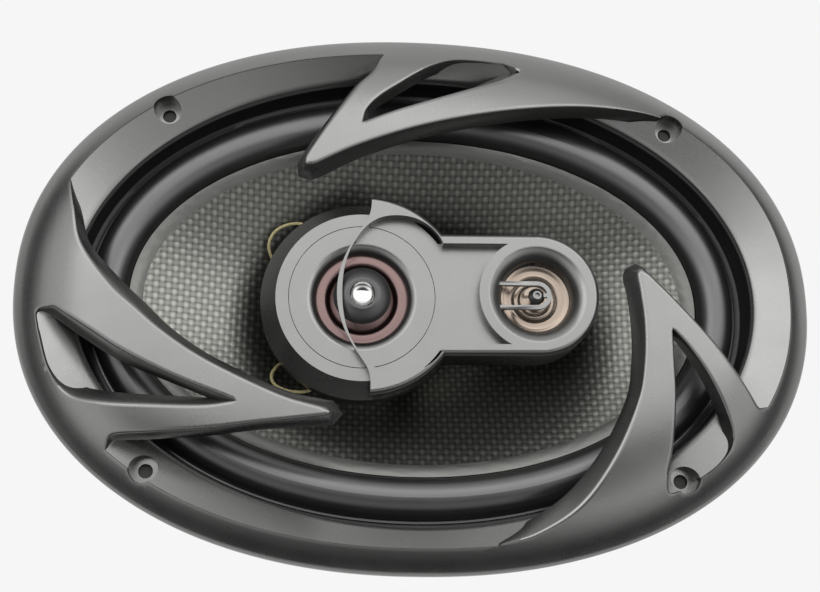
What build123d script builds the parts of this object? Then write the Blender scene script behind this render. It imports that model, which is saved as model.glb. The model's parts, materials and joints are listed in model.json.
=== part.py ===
from build123d import *
from math import copysign, cos, exp, pi, radians, sin, sqrt, tan
import os

# Coaxial car loudspeaker in the oval 6 x 9 inch size, in millimetres.
# Origin: centre of the mounting plane, where the rim meets the panel.  +Z points out of the face,
# +X runs along the long axis, towards the supertweeter.

# ---- driving sizes -------------------------------------------------------------------------
rim_half_length = 120.0
rim_half_width = 83.4
rim_roundness = 2.17            # superellipse power: 2 is an ellipse, more is squarer
rim_wall = 2.6
rim_side_height = 4.0
ridge_inset = (7.4, 7.45)       # crest of the rim, in from the rim's edge along X and along Y
ridge_height = 9.75
mouth_inset = (17.1, 13.5)      # round the grille's open mouth
mouth_height = 4.35
dome_rise = 12.0                # how far the claws stand above the rim's side
dome_reach = 11.35              # how fast they rise, going in from the rim
claw_depth = 5.5
claw_land_inset = 3.0
claw_root_wall = 1.2
claw_drill_bottom = -0.5        # reach of the prisms that shape the claws
claw_drill_top = 22.0
ridge_lip = 0.15

gasket_thickness = 0.8
flange_thickness = 1.0
flange_gap = 0.6                # between the flange's edge and the rim's wall
screw_inset = 9.645             # screw centres, as a place on the oval
screw_angle = 46.664
screw_hole_radius = 2.1
screw_head_radius = 4.05
screw_floor = 1.0               # plastic left under a screw's head
boss_radius = 6.2

basket_wall = 1.2
flange_inner_inset = (15.2, 11.6)
ledge_height = -8.3
ledge_inset = (21.5, 18.1)
ledge_foot_inset = (18.8, 15.2)
spider_shelf_radius = 51.0
spider_shelf_height = -43.4
basket_floor_height = -52.8
basket_throat_radius = 46.5
basket_hole_radius = 28.0
window_count = 8
window_width = 23.0
window_top = -15.0
window_bottom = -39.0

roll_inset_outer = (20.0, 16.5)
roll_inset_inner = (31.7, 29.2)
roll_height = 5.8
roll_base = -7.4
rubber_thickness = 0.7

cone_edge_inset = (32.0, 29.5)
cone_edge_height = -7.1
weave_edge_inset = (36.0, 33.4)
weave_edge_height = -9.0
cone_neck_height = -38.0
cone_bow = 0.85
paper_thickness = 0.6
weave_thickness = 0.35

coil_inner_radius = 12.75
coil_former_thickness = 0.3
coil_wire_thickness = 0.55
coil_former_top = -36.5
coil_former_bottom = -62.0
coil_winding_height = 9.0
magnetic_gap_clearance = 0.5    # air on each side of the coil
top_plate_thickness = 6.0
magnet_thickness = 16.0
back_plate_thickness = 6.0
magnet_radius = 45.0
magnet_hole_radius = 22.0
plate_radius = 42.0
vent_bolt_radius = 2.5

spider_roll_count = 5
spider_roll_height = 1.6
spider_thickness = 0.5
spider_lip = 4.8

pod_turn = 1.5                  # degrees about the post
pod_disc_centre = -17.0
pod_disc_radius = 31.0
pod_plate_radius = 26.2
pod_arm_centre = 36.4
pod_arm_half_width = 19.0
pod_bottom = -12.0
pod_skirt_height = -5.0
pod_plate_height = 0.5
pod_floor = 2.0
pod_wall = 2.2
trim_height = 4.6
trim_border = 3.2
trim_edge_round = 1.6
rib_depth = 1.0                 # of the trim's rib, where it crosses the tweeter's mouth
post_radius = 4.5

tweeter_mouth_radius = 17.0
tweeter_throat_radius = 13.75
tweeter_face_radius = 22.2
tweeter_face_thickness = 3.5
seam_gap = 0.15
tweeter_dome_radius = 9.6
film_thickness = 0.3
plug_radius = 8.8
plug_height = 4.0
plug_cavity_radius = 3.8

super_mouth_radius = 15.4
super_throat_radius = 10.6
super_dish_height = -2.2
super_island_radius = 18.0
bridge_half_width = 4.4
bridge_bar = 1.3
bridge_top = 2.6
bullet_radius = 2.6

OVAL_POINTS = 32
eps = 0.02

# ---- heights that follow from them ---------------------------------------------------------
flange_bottom = gasket_thickness
flange_top = flange_bottom + flange_thickness
top_plate_top = basket_floor_height - basket_wall
top_plate_bottom = top_plate_top - top_plate_thickness
magnet_bottom = top_plate_bottom - magnet_thickness
back_plate_bottom = magnet_bottom - back_plate_thickness
coil_former_outer = coil_inner_radius + coil_former_thickness
coil_wire_outer = coil_former_outer + coil_wire_thickness
pole_radius = coil_inner_radius - magnetic_gap_clearance + 0.1
gap_radius = coil_wire_outer + magnetic_gap_clearance


# ---- ovals ---------------------------------------------------------------------------------
def oval_point(half_length, half_width, roundness, angle):
    """Point of a superellipse; angle in degrees."""
    c, s = cos(radians(angle)), sin(radians(angle))
    power = 2 / roundness
    return copysign(abs(c) ** power, c) * half_length, copysign(abs(s) ** power, s) * half_width


def oval(half_length, half_width, roundness, height):
    """Closed superellipse edge."""
    points = [oval_point(half_length, half_width, roundness, 360 * k / OVAL_POINTS) + (height,)
              for k in range(OVAL_POINTS)]
    return Edge.make_spline(points, periodic=True)


def inset(amount, roundness, height, grow=0.0):
    """Oval that lies a given amount in from the rim's edge, along X and along Y."""
    return (rim_half_length - amount[0] + grow, rim_half_width - amount[1] + grow, roundness, height)


def circle(radius, height):
    return radius, radius, 2.0, height


def oval_ring(sections):
    """Solid ring whose skin joins each oval to the next, and the last back to the first."""
    edges = [oval(*section) for section in sections]
    pairs = zip(edges, edges[1:] + edges[:1])
    return Solid(Shell([Face.make_surface_from_curves(first, second) for first, second in pairs]))


def oval_plug(sections):
    """Solid that fills a stack of ovals."""
    edges = [oval(*section) for section in sections]
    walls = [Face.make_surface_from_curves(first, second) for first, second in zip(edges, edges[1:])]
    caps = [Face(Wire([edges[0]])), Face(Wire([edges[-1]]))]
    return Solid(Shell(walls + caps))


def turned(profile):
    """Solid of revolution about Z from (radius, height) points."""
    face = Plane.XZ * make_face(Polyline(*profile, close=True))
    return revolve(face, Axis.Z)


def disc(radius, bottom, top, x=0.0, y=0.0, hole=0.0):
    body = Pos(x, y, (bottom + top) / 2) * Cylinder(radius, top - bottom)
    if hole:
        body -= Pos(x, y, (bottom + top) / 2) * Cylinder(hole, top - bottom + 1)
    return body


def block(x_range, y_range, z_range):
    size = [high - low for low, high in (x_range, y_range, z_range)]
    middle = [(high + low) / 2 for low, high in (x_range, y_range, z_range)]
    return Pos(*middle) * Box(*size)


nodes = {}
rim_inset = (0.0, 0.0)
screw_places = []
for turn_sign_x, turn_sign_y in ((1, 1), (-1, 1), (-1, -1), (1, -1)):
    x, y = oval_point(rim_half_length - screw_inset, rim_half_width - screw_inset, rim_roundness,
                      screw_angle)
    screw_places.append((turn_sign_x * x, turn_sign_y * y))


def screw_drills(radius, bottom, top):
    return [disc(radius, bottom, top, x, y) for x, y in screw_places]


# ---- grille: oval rim with three claws -----------------------------------------------------
def dome_height(depth_in):
    return rim_side_height + dome_rise * (1 - exp(-depth_in / dome_reach))


def dome_place(angle, depth_in):
    return oval_point(rim_half_length - depth_in, rim_half_width - depth_in, rim_roundness, angle)


def rim_walk(first_angle, last_angle, steps):
    """Points along the rim, under its slope, that close a claw's outline."""
    span = last_angle - first_angle
    return [(first_angle + span * k / steps, claw_land_inset, 0.0) for k in range(steps + 1)]


def drafted(edges, bottom, top):
    """Prism with sloping walls from an outline given as joined edges of (angle, inset, run).
    run is how far the wall leans outwards over one claw depth."""
    loop = [point for edge in edges for point in edge[:-1]]
    flat = [dome_place(angle, depth_in) for angle, depth_in, run in loop]
    area = sum(p[0] * q[1] - q[0] * p[1] for p, q in zip(flat, flat[1:] + flat[:1]))
    side = copysign(1.0, area)
    lean = {}
    for k, (angle, depth_in, run) in enumerate(loop):
        before, here, after = flat[k - 1], flat[k], flat[(k + 1) % len(flat)]
        one = (here[0] - before[0], here[1] - before[1])
        two = (after[0] - here[0], after[1] - here[1])
        one_length, two_length = sqrt(one[0] ** 2 + one[1] ** 2), sqrt(two[0] ** 2 + two[1] ** 2)
        x = one[1] / one_length + two[1] / two_length
        y = -(one[0] / one_length + two[0] / two_length)
        size = max(sqrt(x * x + y * y), 0.9)
        lean[(angle, depth_in)] = (side * x / size, side * y / size)

    def wire(level):
        curves = []
        for edge in edges:
            points = []
            for angle, depth_in, run in edge:
                x, y = dome_place(angle, depth_in)
                away = lean[(angle, depth_in)]
                out = run * (dome_height(depth_in) - level) / claw_depth
                points.append((x + away[0] * out, y + away[1] * out, level))
            curves.append(Edge.make_spline(points) if len(points) > 2 else Edge.make_line(*points))
        return curves

    low, high = wire(bottom), wire(top)
    walls = [Face.make_surface_from_curves(a, b) for a, b in zip(low, high)]
    return Solid(Shell(walls + [Face(Wire(low)), Face(Wire(high))]))


claw_outlines = [
    [[(94.0, 3.0, 0.0), (95.2, 7.4, 1.6), (97.1, 14.4, 2.0), (99.8, 19.1, 2.0), (106.1, 30.0, 2.0),
      (113.4, 39.9, 2.2), (115.1, 42.3, 2.6)],
     [(115.1, 42.3, 2.6), (115.2, 43.6, 3.6), (113.6, 43.9, 3.2)],
     [(113.6, 43.9, 3.2), (102.0, 39.2, 2.6), (89.7, 32.9, 2.3), (76.7, 25.9, 2.0),
      (63.6, 18.0, 1.6), (53.0, 11.2, 1.2), (46.0, 7.4, 0.5), (40.0, 3.0, 0.0)],
     rim_walk(40.0, 94.0, 6)],
    [[(154.0, 3.0, 0.0), (158.5, 8.0, 0.5), (164.5, 13.8, 1.4), (172.7, 19.8, 2.2), (181.9, 29.3, 3.6),
      (190.5, 36.4, 3.4), (200.4, 40.8, 2.8), (213.0, 43.8, 2.5), (225.5, 45.0, 2.5),
      (240.5, 44.3, 2.6), (249.9, 43.8, 3.2)],
     [(249.9, 43.8, 3.2), (252.1, 43.0, 4.0), (251.4, 41.5, 2.0)],
     [(251.4, 41.5, 2.0), (239.0, 34.7, 1.3), (230.9, 27.6, 1.3), (222.6, 18.5, 1.3),
      (219.3, 13.9, 1.2)],
     [(219.3, 13.9, 1.2), (218.1, 10.9, 1.2), (219.6, 7.4, 1.0)],
     [(219.6, 7.4, 1.0), (221.5, 3.0, 0.0)],
     rim_walk(221.5, 154.0, 7)],
    [[(274.0, 3.0, 0.0), (280.0, 7.4, 0.5), (286.3, 9.5, 1.2), (294.3, 14.7, 2.0), (304.3, 24.6, 2.6),
      (317.4, 36.0, 2.8), (328.4, 43.9, 3.0), (343.1, 51.1, 3.2), (359.1, 54.7, 3.2),
      (368.3, 54.8, 3.6)],
     [(368.3, 54.8, 3.6), (370.5, 53.6, 3.6), (367.3, 51.6, 2.0)],
     [(367.3, 51.6, 2.0), (356.4, 44.3, 1.3), (344.9, 30.5, 1.3), (338.6, 19.5, 1.3),
      (335.8, 13.2, 1.2)],
     [(335.8, 13.2, 1.2), (334.6, 9.6, 1.2), (336.0, 7.4, 1.0)],
     [(336.0, 7.4, 1.0), (338.0, 3.0, 0.0)],
     rim_walk(338.0, 274.0, 7)],
]
window_outlines = [
    [[(100.6, 32.2, -0.1), (99.3, 27.8, -0.6), (96.8, 23.5, -1.0), (93.4, 18.9, -1.2),
      (89.7, 12.8, -1.2), (86.3, 8.9, -1.0), (82.5, 8.0, -0.8), (78.4, 7.8, -0.8)],
     [(78.4, 7.8, -0.8), (75.4, 10.0, -1.0), (78.0, 15.2, -1.2)],
     [(78.0, 15.2, -1.2), (85.9, 22.0, -1.0), (93.6, 27.9, -0.6), (100.6, 32.2, -0.1)]],
    [[(190.0, 7.9, -0.8), (186.6, 8.2, -0.8), (186.3, 13.1, -2.0)],
     [(186.3, 13.1, -2.0), (193.1, 21.9, -2.6), (202.2, 28.7, -2.4), (215.6, 35.0, -1.4),
      (231.8, 38.3, -0.1)],
     [(231.8, 38.3, -0.1), (226.4, 32.8, -0.5), (217.8, 24.4, -0.8), (211.0, 15.3, -1.0),
      (206.0, 9.4, -1.0), (199.0, 7.9, -0.8), (190.0, 7.9, -0.8)]],
    [[(344.8, 43.3, -0.1), (340.8, 37.0, -0.5), (335.5, 28.1, -0.8), (329.9, 17.8, -1.2),
      (325.4, 10.0, -1.2), (320.0, 7.7, -0.8), (312.0, 7.6, -0.8)],
     [(312.0, 7.6, -0.8), (309.0, 8.8, -0.8), (311.0, 14.2, -1.0)],
     [(311.0, 14.2, -1.0), (316.0, 20.7, -1.0), (324.8, 30.4, -0.8), (333.7, 37.8, -0.5),
      (344.8, 43.3, -0.1)]],
]


def dome(drop=0.0):
    """Solid under the moulding's domed top, from the height of the rim's side upwards."""
    insets = (0.0, 7.4, 15.0, 25.0, 38.0, 60.0)
    return Solid.make_loft([Wire([oval(*inset((d, d), rim_roundness, dome_height(d) - drop))])
                            for d in insets])


def grille():
    skirt = oval_plug([inset(rim_inset, rim_roundness, 0.0),
                       inset(rim_inset, rim_roundness, rim_side_height)])
    # the well is the open middle: the band slopes down into it, and the claws stand in it
    well = oval_plug([inset(mouth_inset, 2.0, -5.0), inset(mouth_inset, 2.0, mouth_height),
                      inset(ridge_inset, rim_roundness, ridge_height - ridge_lip),
                      inset(ridge_inset, rim_roundness, claw_drill_top + 3)])
    claws = [drafted(outline, claw_drill_bottom, claw_drill_top)
             - drafted(window, claw_drill_bottom, claw_drill_top + 1)
             for outline, window in zip(claw_outlines, window_outlines)]
    body = dome() + skirt - (well - claws)
    column = oval_plug([inset(mouth_inset, 2.0, -6.0, grow=-claw_root_wall),
                        inset(mouth_inset, 2.0, claw_drill_top, grow=-claw_root_wall)])
    low_skirt = oval_plug([inset(rim_inset, rim_roundness, -6.5),
                           inset(rim_inset, rim_roundness, rim_side_height - claw_depth)])
    body -= (dome(claw_depth) + low_skirt) & column
    body -= oval_plug([inset((rim_wall, rim_wall), rim_roundness, -1.0),
                       inset((rim_wall, rim_wall), rim_roundness, flange_top)])
    inner = (mouth_inset[0] - rim_wall, mouth_inset[1] - 2)
    hollow = oval_ring([
        inset((rim_wall + 2, rim_wall + 2), rim_roundness, flange_top - 1),
        inset((rim_wall + 2, rim_wall + 2), rim_roundness, rim_side_height),
        inset(ridge_inset, rim_roundness, ridge_height - rim_wall),
        inset(inner, 2.03, mouth_height - 1.0),
        inset(inner, 2.03, flange_top - 1)])
    for x, y in screw_places:
        hollow -= disc(boss_radius, flange_top - 2, ridge_height, x, y)
    body -= hollow
    body -= screw_drills(screw_head_radius, flange_top + screw_floor, claw_drill_top)
    body -= screw_drills(screw_hole_radius, flange_top - 1, claw_drill_top)
    return body


nodes["grille"] = grille()

# ---- mounting gasket, basket ---------------------------------------------------------------
edge_inset = (rim_wall + flange_gap, rim_wall + flange_gap)
gasket_inset = (edge_inset[0] + 1.5, edge_inset[1] + 1.5)
# the foam isn't punched: the mounting screws pierce it
gasket = oval_ring([
    inset(gasket_inset, rim_roundness, 0.0),
    inset(gasket_inset, rim_roundness, gasket_thickness),
    inset(flange_inner_inset, 2.0, gasket_thickness, grow=2.4),
    inset(flange_inner_inset, 2.0, 0.0, grow=2.4)])
nodes["mounting_gasket"] = gasket


def lower(place, drop):
    return place[:3] + (place[3] - drop,)


def basket():
    step = (flange_inner_inset[0] + 1.0, flange_inner_inset[1] + 1.0)
    foot = (flange_inner_inset[0] + 2.1, flange_inner_inset[1] + 2.1)
    wall = basket_wall
    shell = oval_ring([
        inset(edge_inset, rim_roundness, flange_top),
        inset(flange_inner_inset, 2.0, flange_top),
        inset(step, 2.03, -5.0),
        inset(foot, 2.05, -7.5),
        inset(ledge_foot_inset, 2.07, ledge_height),
        inset(ledge_inset, 2.08, ledge_height),
        inset(ledge_inset, 2.08, ledge_height - 2.0, grow=-0.4),
        circle(spider_shelf_radius, spider_shelf_height + 0.9),
        circle(spider_shelf_radius, spider_shelf_height),
        circle(basket_throat_radius, spider_shelf_height),
        circle(basket_throat_radius, basket_floor_height),
        circle(basket_hole_radius, basket_floor_height),
        circle(basket_hole_radius, basket_floor_height - wall),
        circle(basket_throat_radius + wall, basket_floor_height - wall),
        circle(basket_throat_radius + wall, spider_shelf_height - wall),
        circle(spider_shelf_radius + wall, spider_shelf_height - wall),
        inset(ledge_inset, 2.08, ledge_height - 2.6, grow=1.0),
        inset(ledge_foot_inset, 2.07, ledge_height - wall, grow=0.6),
        inset(foot, 2.05, -8.4, grow=1.0),
        inset(step, 2.03, -5.0, grow=wall),
        inset(flange_inner_inset, 2.0, flange_bottom, grow=wall),
        inset(edge_inset, rim_roundness, flange_bottom)])
    shell -= screw_drills(screw_hole_radius, flange_bottom - 1, flange_top + 1)
    middle, height = (window_top + window_bottom) / 2, window_top - window_bottom
    slot = extrude(RectangleRounded(window_width, height, 6.0), rim_half_length)
    for k in range(window_count):
        shell -= Rot(0, 0, 360 * (k + 0.5) / window_count) * Pos(0, 0, middle) * Rot(90, 0, 90) * slot
    return shell


nodes["basket"] = basket()

# ---- motor: top plate, ferrite ring, yoke with pole -----------------------------------------
rivet_ring_radius = (basket_hole_radius + plate_radius) / 2
rivet_radius = 2.4
rivet_count = 6


def rivet_places():
    return [(rivet_ring_radius * cos(2 * pi * k / rivet_count),
             rivet_ring_radius * sin(2 * pi * k / rivet_count)) for k in range(rivet_count)]


rivet_depth = 3.0
plate_with_sockets = disc(plate_radius, top_plate_bottom, top_plate_top, hole=gap_radius)
plate_with_sockets -= [disc(rivet_radius, top_plate_top - rivet_depth, top_plate_top + 1, x, y)
                       for x, y in rivet_places()]
nodes["top_plate"] = plate_with_sockets
nodes["basket"] -= [disc(rivet_radius, basket_floor_height - 3, basket_floor_height + 1, x, y)
                    for x, y in rivet_places()]
nodes["basket_rivets"] = Compound([
    disc(rivet_radius, top_plate_top - rivet_depth, basket_floor_height, x, y)
    + disc(rivet_radius * 1.8, basket_floor_height, basket_floor_height + 1.4, x, y)
    for x, y in rivet_places()])
nodes["magnet_ring"] = disc(magnet_radius, magnet_bottom, top_plate_bottom, hole=magnet_hole_radius)
yoke = disc(plate_radius, back_plate_bottom, magnet_bottom)
yoke += disc(pole_radius, magnet_bottom - eps, top_plate_top)
yoke -= disc(vent_bolt_radius, back_plate_bottom - 1, top_plate_top + 1)
yoke -= turned([(0, back_plate_bottom - 1), (6.0, back_plate_bottom - 1), (6.0, back_plate_bottom + 4),
                (0, back_plate_bottom + 4)])
nodes["yoke"] = chamfer(yoke.edges().filter_by(GeomType.CIRCLE).group_by(Axis.Z)[0].sort_by(
    SortBy.RADIUS)[-1], 1.2)

# ---- cone, its woven skin, surround, spider, voice coil -------------------------------------
def cone_place(share, drop=0.0):
    """Oval on the cone's front; share runs from 0 at the neck to 1 at the edge of the weave."""
    half_length = coil_former_outer + share * (rim_half_length - weave_edge_inset[0] - coil_former_outer)
    half_width = coil_former_outer + share * (rim_half_width - weave_edge_inset[1] - coil_former_outer)
    height = cone_neck_height + (weave_edge_height - cone_neck_height) * share ** cone_bow
    return half_length, half_width, 2.0 + 0.04 * share, height - drop


cone_shares = (0.0, 0.12, 0.3, 0.5, 0.75, 1.0)
front = [cone_place(share) for share in cone_shares]
edge_top = inset(cone_edge_inset, 2.03, cone_edge_height)
edge_drop = weave_thickness + paper_thickness
paper_top = [lower(place, weave_thickness) for place in front]
nodes["cone"] = oval_ring(paper_top + [front[-1], edge_top, lower(edge_top, paper_thickness)]
                          + [lower(place, edge_drop) for place in reversed(front)])
nodes["cone_weave"] = oval_ring(front + list(reversed(paper_top)))

nodes["voice_coil_former"] = disc(coil_former_outer, coil_former_bottom, coil_former_top,
                                  hole=coil_inner_radius)
nodes["voice_coil_winding"] = disc(coil_wire_outer, coil_former_bottom + 0.5,
                                   coil_former_bottom + 0.5 + coil_winding_height,
                                   hole=coil_former_outer)


def roll_place(turn, thin, height_offset=0.0):
    """Oval on the surround's roll; turn in degrees, 180 at its outer foot and 0 at its inner one."""
    share = (1 + cos(radians(turn))) / 2
    spread = 1 - thin / ((roll_inset_inner[0] - roll_inset_outer[0]) / 2)
    share = 0.5 + (share - 0.5) * spread
    amount = tuple(outer + share * (inner - outer)
                   for outer, inner in zip(roll_inset_outer, roll_inset_inner))
    rise = (roll_height - thin) * sin(radians(turn))
    return inset(amount, 2.08 - 0.05 * share, roll_base + rise + height_offset)


roll_turns = [180 - 15 * k for k in range(13)]
lip_outer = (ledge_foot_inset[0] + 0.3, ledge_foot_inset[1] + 0.3)
lip_inner_end = (weave_edge_inset[0] - 0.6, weave_edge_inset[1] - 0.6)
glue_drop = paper_thickness + 0.1
nodes["surround"] = oval_ring(
    [inset(lip_outer, 2.07, ledge_height), inset(lip_outer, 2.07, ledge_height + rubber_thickness)]
    + [roll_place(turn, 0.0, 0.0) for turn in roll_turns]
    + [lower(inset(cone_edge_inset, 2.03, cone_edge_height), glue_drop + 0.3),
       inset(lip_inner_end, 2.03, weave_edge_height - glue_drop),
       inset(lip_inner_end, 2.03, weave_edge_height - glue_drop - rubber_thickness),
       lower(inset(cone_edge_inset, 2.03, cone_edge_height), glue_drop + 0.3 + rubber_thickness)]
    + [roll_place(turn, rubber_thickness, -0.2) for turn in reversed(roll_turns)]
    + [inset(ledge_inset, 2.08, ledge_height)])

spider_inner = coil_former_outer
spider_outer = spider_shelf_radius - 0.4
spider_level = spider_shelf_height
roll_span = (spider_outer - spider_lip - spider_inner - 2.0) / spider_roll_count


def spider_line(offset):
    points = [(spider_inner, spider_level + offset)]
    for k in range(spider_roll_count * 4 + 1):
        radius = spider_inner + 2.0 + roll_span * k / 4
        points.append((radius, spider_level + offset + spider_roll_height * sin(pi * k / 2)))
    return points + [(spider_outer, spider_level + offset)]


nodes["spider"] = turned(spider_line(0.0) + list(reversed(spider_line(spider_thickness))))

# ---- pod: post, housing, trim ---------------------------------------------------------------
pod_place = Rot(0, 0, pod_turn)
nodes["pod_post"] = disc(post_radius, top_plate_top, pod_bottom, hole=vent_bolt_radius)
bolt_top = pod_bottom + pod_floor
nodes["pod_bolt"] = (disc(vent_bolt_radius, back_plate_bottom + 1, bolt_top)
                     + disc(4.6, back_plate_bottom + 1, back_plate_bottom + 4)
                     - Pos(0, 0, back_plate_bottom + 1) * extrude(RegularPolygon(2.3, 6), 2.0))


def pod_outline(shrink=0.0):
    """Plan of the pod: a round end for the tweeter and an arm for the supertweeter."""
    sketch = Pos(pod_disc_centre, 0) * Circle(pod_disc_radius - shrink)
    arm = pod_arm_half_width - shrink
    sketch += Pos(pod_arm_centre, 0) * Circle(arm)
    length = pod_arm_centre - pod_disc_centre
    sketch += Pos(pod_disc_centre + length / 2, 0) * Rectangle(length, 2 * arm)
    return sketch


def cone_stub(radius_low, low, radius_high, high, x):
    return Pos(x, 0, (low + high) / 2) * Cone(radius_low, radius_high, high - low)


def bell(mouth, throat, top, bottom, x):
    """Flared opening: wide at the top, with a curved wall down to the throat."""
    profile = make_face([
        Line((0, bottom), (throat, bottom)),
        ThreePointArc((throat, bottom), (throat + (mouth - throat) * 0.32, top - (top - bottom) * 0.32),
                      (mouth, top)),
        Line((mouth, top), (mouth, top + 6)), Line((mouth, top + 6), (0, top + 6)),
        Line((0, top + 6), (0, bottom))])
    return Pos(x, 0, 0) * revolve(Plane.XZ * profile, Axis.Z)


# the trim's open middle, upper half: from the arm's corner round the lobe to the rib
recess_half_outline = [(7.8, 15.8), (3.6, 21.4), (-0.6, 23.8), (-5.8, 24.7), (-11.4, 23.9), (-15.4, 21.4),
                       (-18.7, 17.2), (-21.3, 12.0), (-22.8, 5.5), (-23.1, 0.0)]
outer_sweep = [(-14.2, 33.0), (-14.0, 28.7), (-14.6, 25.2), (-17.6, 19.8), (-21.9, 12.4), (-24.4, 4.0),
               (-24.4, -4.0), (-21.9, -12.4), (-17.6, -19.8), (-15.4, -23.6), (-14.8, -27.0),
               (-15.4, -33.0)]
kept_side = make_face([Spline(*outer_sweep), Line(outer_sweep[-1], (70, -33.0)),
                       Line((70, -33.0), (70, 33.0)), Line((70, 33.0), outer_sweep[0])])
lower_outline = [(x, -y) for x, y in reversed(recess_half_outline[:-1])]
recess = make_face([Spline(*recess_half_outline, *lower_outline),
                    Line(lower_outline[-1], recess_half_outline[0])])
recess_half = pod_arm_half_width - trim_border
recess += Pos(pod_arm_centre / 2, 0) * Rectangle(pod_arm_centre, 2 * recess_half)
recess -= Pos(pod_arm_centre, 0) * Circle(super_island_radius)

tweeter_seat = pod_plate_height - tweeter_face_thickness
super_seat = super_dish_height
arm_plate = block((pod_disc_centre, pod_arm_centre), (-pod_arm_half_width, pod_arm_half_width),
                  (pod_skirt_height - eps, pod_plate_height))
body = extrude(Pos(0, 0, pod_bottom) * pod_outline(), pod_skirt_height - pod_bottom)
body = fillet(body.edges().group_by(Axis.Z)[0], 1.2)
body += cone_stub(pod_disc_radius, pod_skirt_height, pod_plate_radius, pod_plate_height, pod_disc_centre)
core = extrude(Pos(0, 0, pod_skirt_height) * pod_outline(pod_wall), pod_plate_height - pod_skirt_height)
core &= arm_plate
body += core
# the plate also fills the trim's open middle, on the side where the trim stands
lobe = recess & kept_side & pod_outline(pod_wall)
body += extrude(Pos(0, 0, pod_skirt_height - eps) * lobe, pod_plate_height - pod_skirt_height + eps)
body += disc(pod_arm_half_width - pod_wall, pod_skirt_height - eps, pod_plate_height, pod_arm_centre)
inner_floor = pod_bottom + pod_floor
body -= disc(tweeter_face_radius + seam_gap, tweeter_seat, 20, pod_disc_centre)
body -= disc(tweeter_face_radius - 3.0, inner_floor, 20, pod_disc_centre)
body -= disc(super_throat_radius + 2.2, inner_floor, 20, pod_arm_centre)
body -= block((7.5, 21.0), (-13.0, 13.0), (inner_floor, pod_plate_height - 2.0))
body -= disc(vent_bolt_radius, pod_bottom - 1, inner_floor + 1)
nodes["pod_housing"] = pod_place * body

trim = extrude(Pos(0, 0, pod_skirt_height) * pod_outline(), trim_height - pod_skirt_height)
trim = fillet(trim.edges().group_by(Axis.Z)[-1], trim_edge_round)
trim &= extrude(Pos(0, 0, pod_skirt_height) * kept_side, trim_height - pod_skirt_height)
trim -= extrude(Pos(0, 0, pod_plate_height - 6) * recess, 20)
trim -= [body, core]
trim -= disc(tweeter_face_radius + seam_gap, pod_skirt_height - 1, pod_plate_height, pod_disc_centre)
trim -= bell(super_mouth_radius, super_throat_radius, trim_height, super_seat + 0.8, pod_arm_centre)
trim -= disc(super_throat_radius + 2.2, pod_skirt_height - 1, super_seat + 1.2, pod_arm_centre)
trim -= disc(tweeter_mouth_radius, pod_skirt_height - 1, trim_height - rib_depth, pod_disc_centre)
nodes["pod_trim"] = pod_place * trim

# ---- tweeter -------------------------------------------------------------------------------
face_plate = disc(tweeter_face_radius, tweeter_seat, pod_plate_height, pod_disc_centre)
face_plate -= bell(tweeter_mouth_radius, tweeter_throat_radius, pod_plate_height, tweeter_seat,
                   pod_disc_centre)
nodes["tweeter_faceplate"] = pod_place * face_plate

film_level = tweeter_seat - 1.2
film_profile = [(2.2, film_level + 2.4), (6.0, film_level + 1.8), (tweeter_dome_radius, film_level),
                (tweeter_dome_radius + 0.6, film_level + 0.7),
                (tweeter_throat_radius - 0.7, film_level + 1.2), (tweeter_throat_radius, film_level + 1.2)]
film = turned(film_profile + [(r, z - film_thickness) for r, z in reversed(film_profile)])
nodes["tweeter_diaphragm"] = pod_place * Pos(pod_disc_centre, 0, 0) * film
coil_top = film_level - film_thickness
nodes["tweeter_coil"] = pod_place * disc(tweeter_dome_radius, coil_top - 3.0, coil_top, pod_disc_centre,
                                         hole=tweeter_dome_radius - 0.4)
cup_outer = tweeter_throat_radius + 1.6
cup_floor_top = inner_floor + 1.4
cup = disc(cup_outer, inner_floor, film_level - 0.4, pod_disc_centre)
cup -= disc(tweeter_dome_radius + 0.7, cup_floor_top, 20, pod_disc_centre)
nodes["tweeter_cup"] = pod_place * cup
nodes["tweeter_magnet"] = pod_place * disc(tweeter_dome_radius - 1.0, cup_floor_top, cup_floor_top + 2.6,
                                           pod_disc_centre)
nodes["tweeter_pole"] = pod_place * disc(tweeter_dome_radius - 1.0, cup_floor_top + 2.6,
                                         film_level - 0.4, pod_disc_centre)
retainer = disc(tweeter_face_radius - 3.1, film_level - 0.3, tweeter_seat, pod_disc_centre,
                hole=tweeter_throat_radius + 0.3)
nodes["tweeter_retainer"] = pod_place * retainer

# phase plug: an oblate bun on a thin stem, with a mirrored dish in its crown
plug_level = plug_height - 3.0
plug_base = plug_level - 2.0
dish_rim = plug_height - 0.7
dish_bottom = plug_height - 2.6
mirror_thickness = 0.3


def dish_points(radius, rim, bottom):
    """Bowl profile from its rim to the axis."""
    return [(radius * cos(radians(turn)), bottom + (rim - bottom) * (1 - sin(radians(turn))))
            for turn in (0, 30, 60, 90)]


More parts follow.
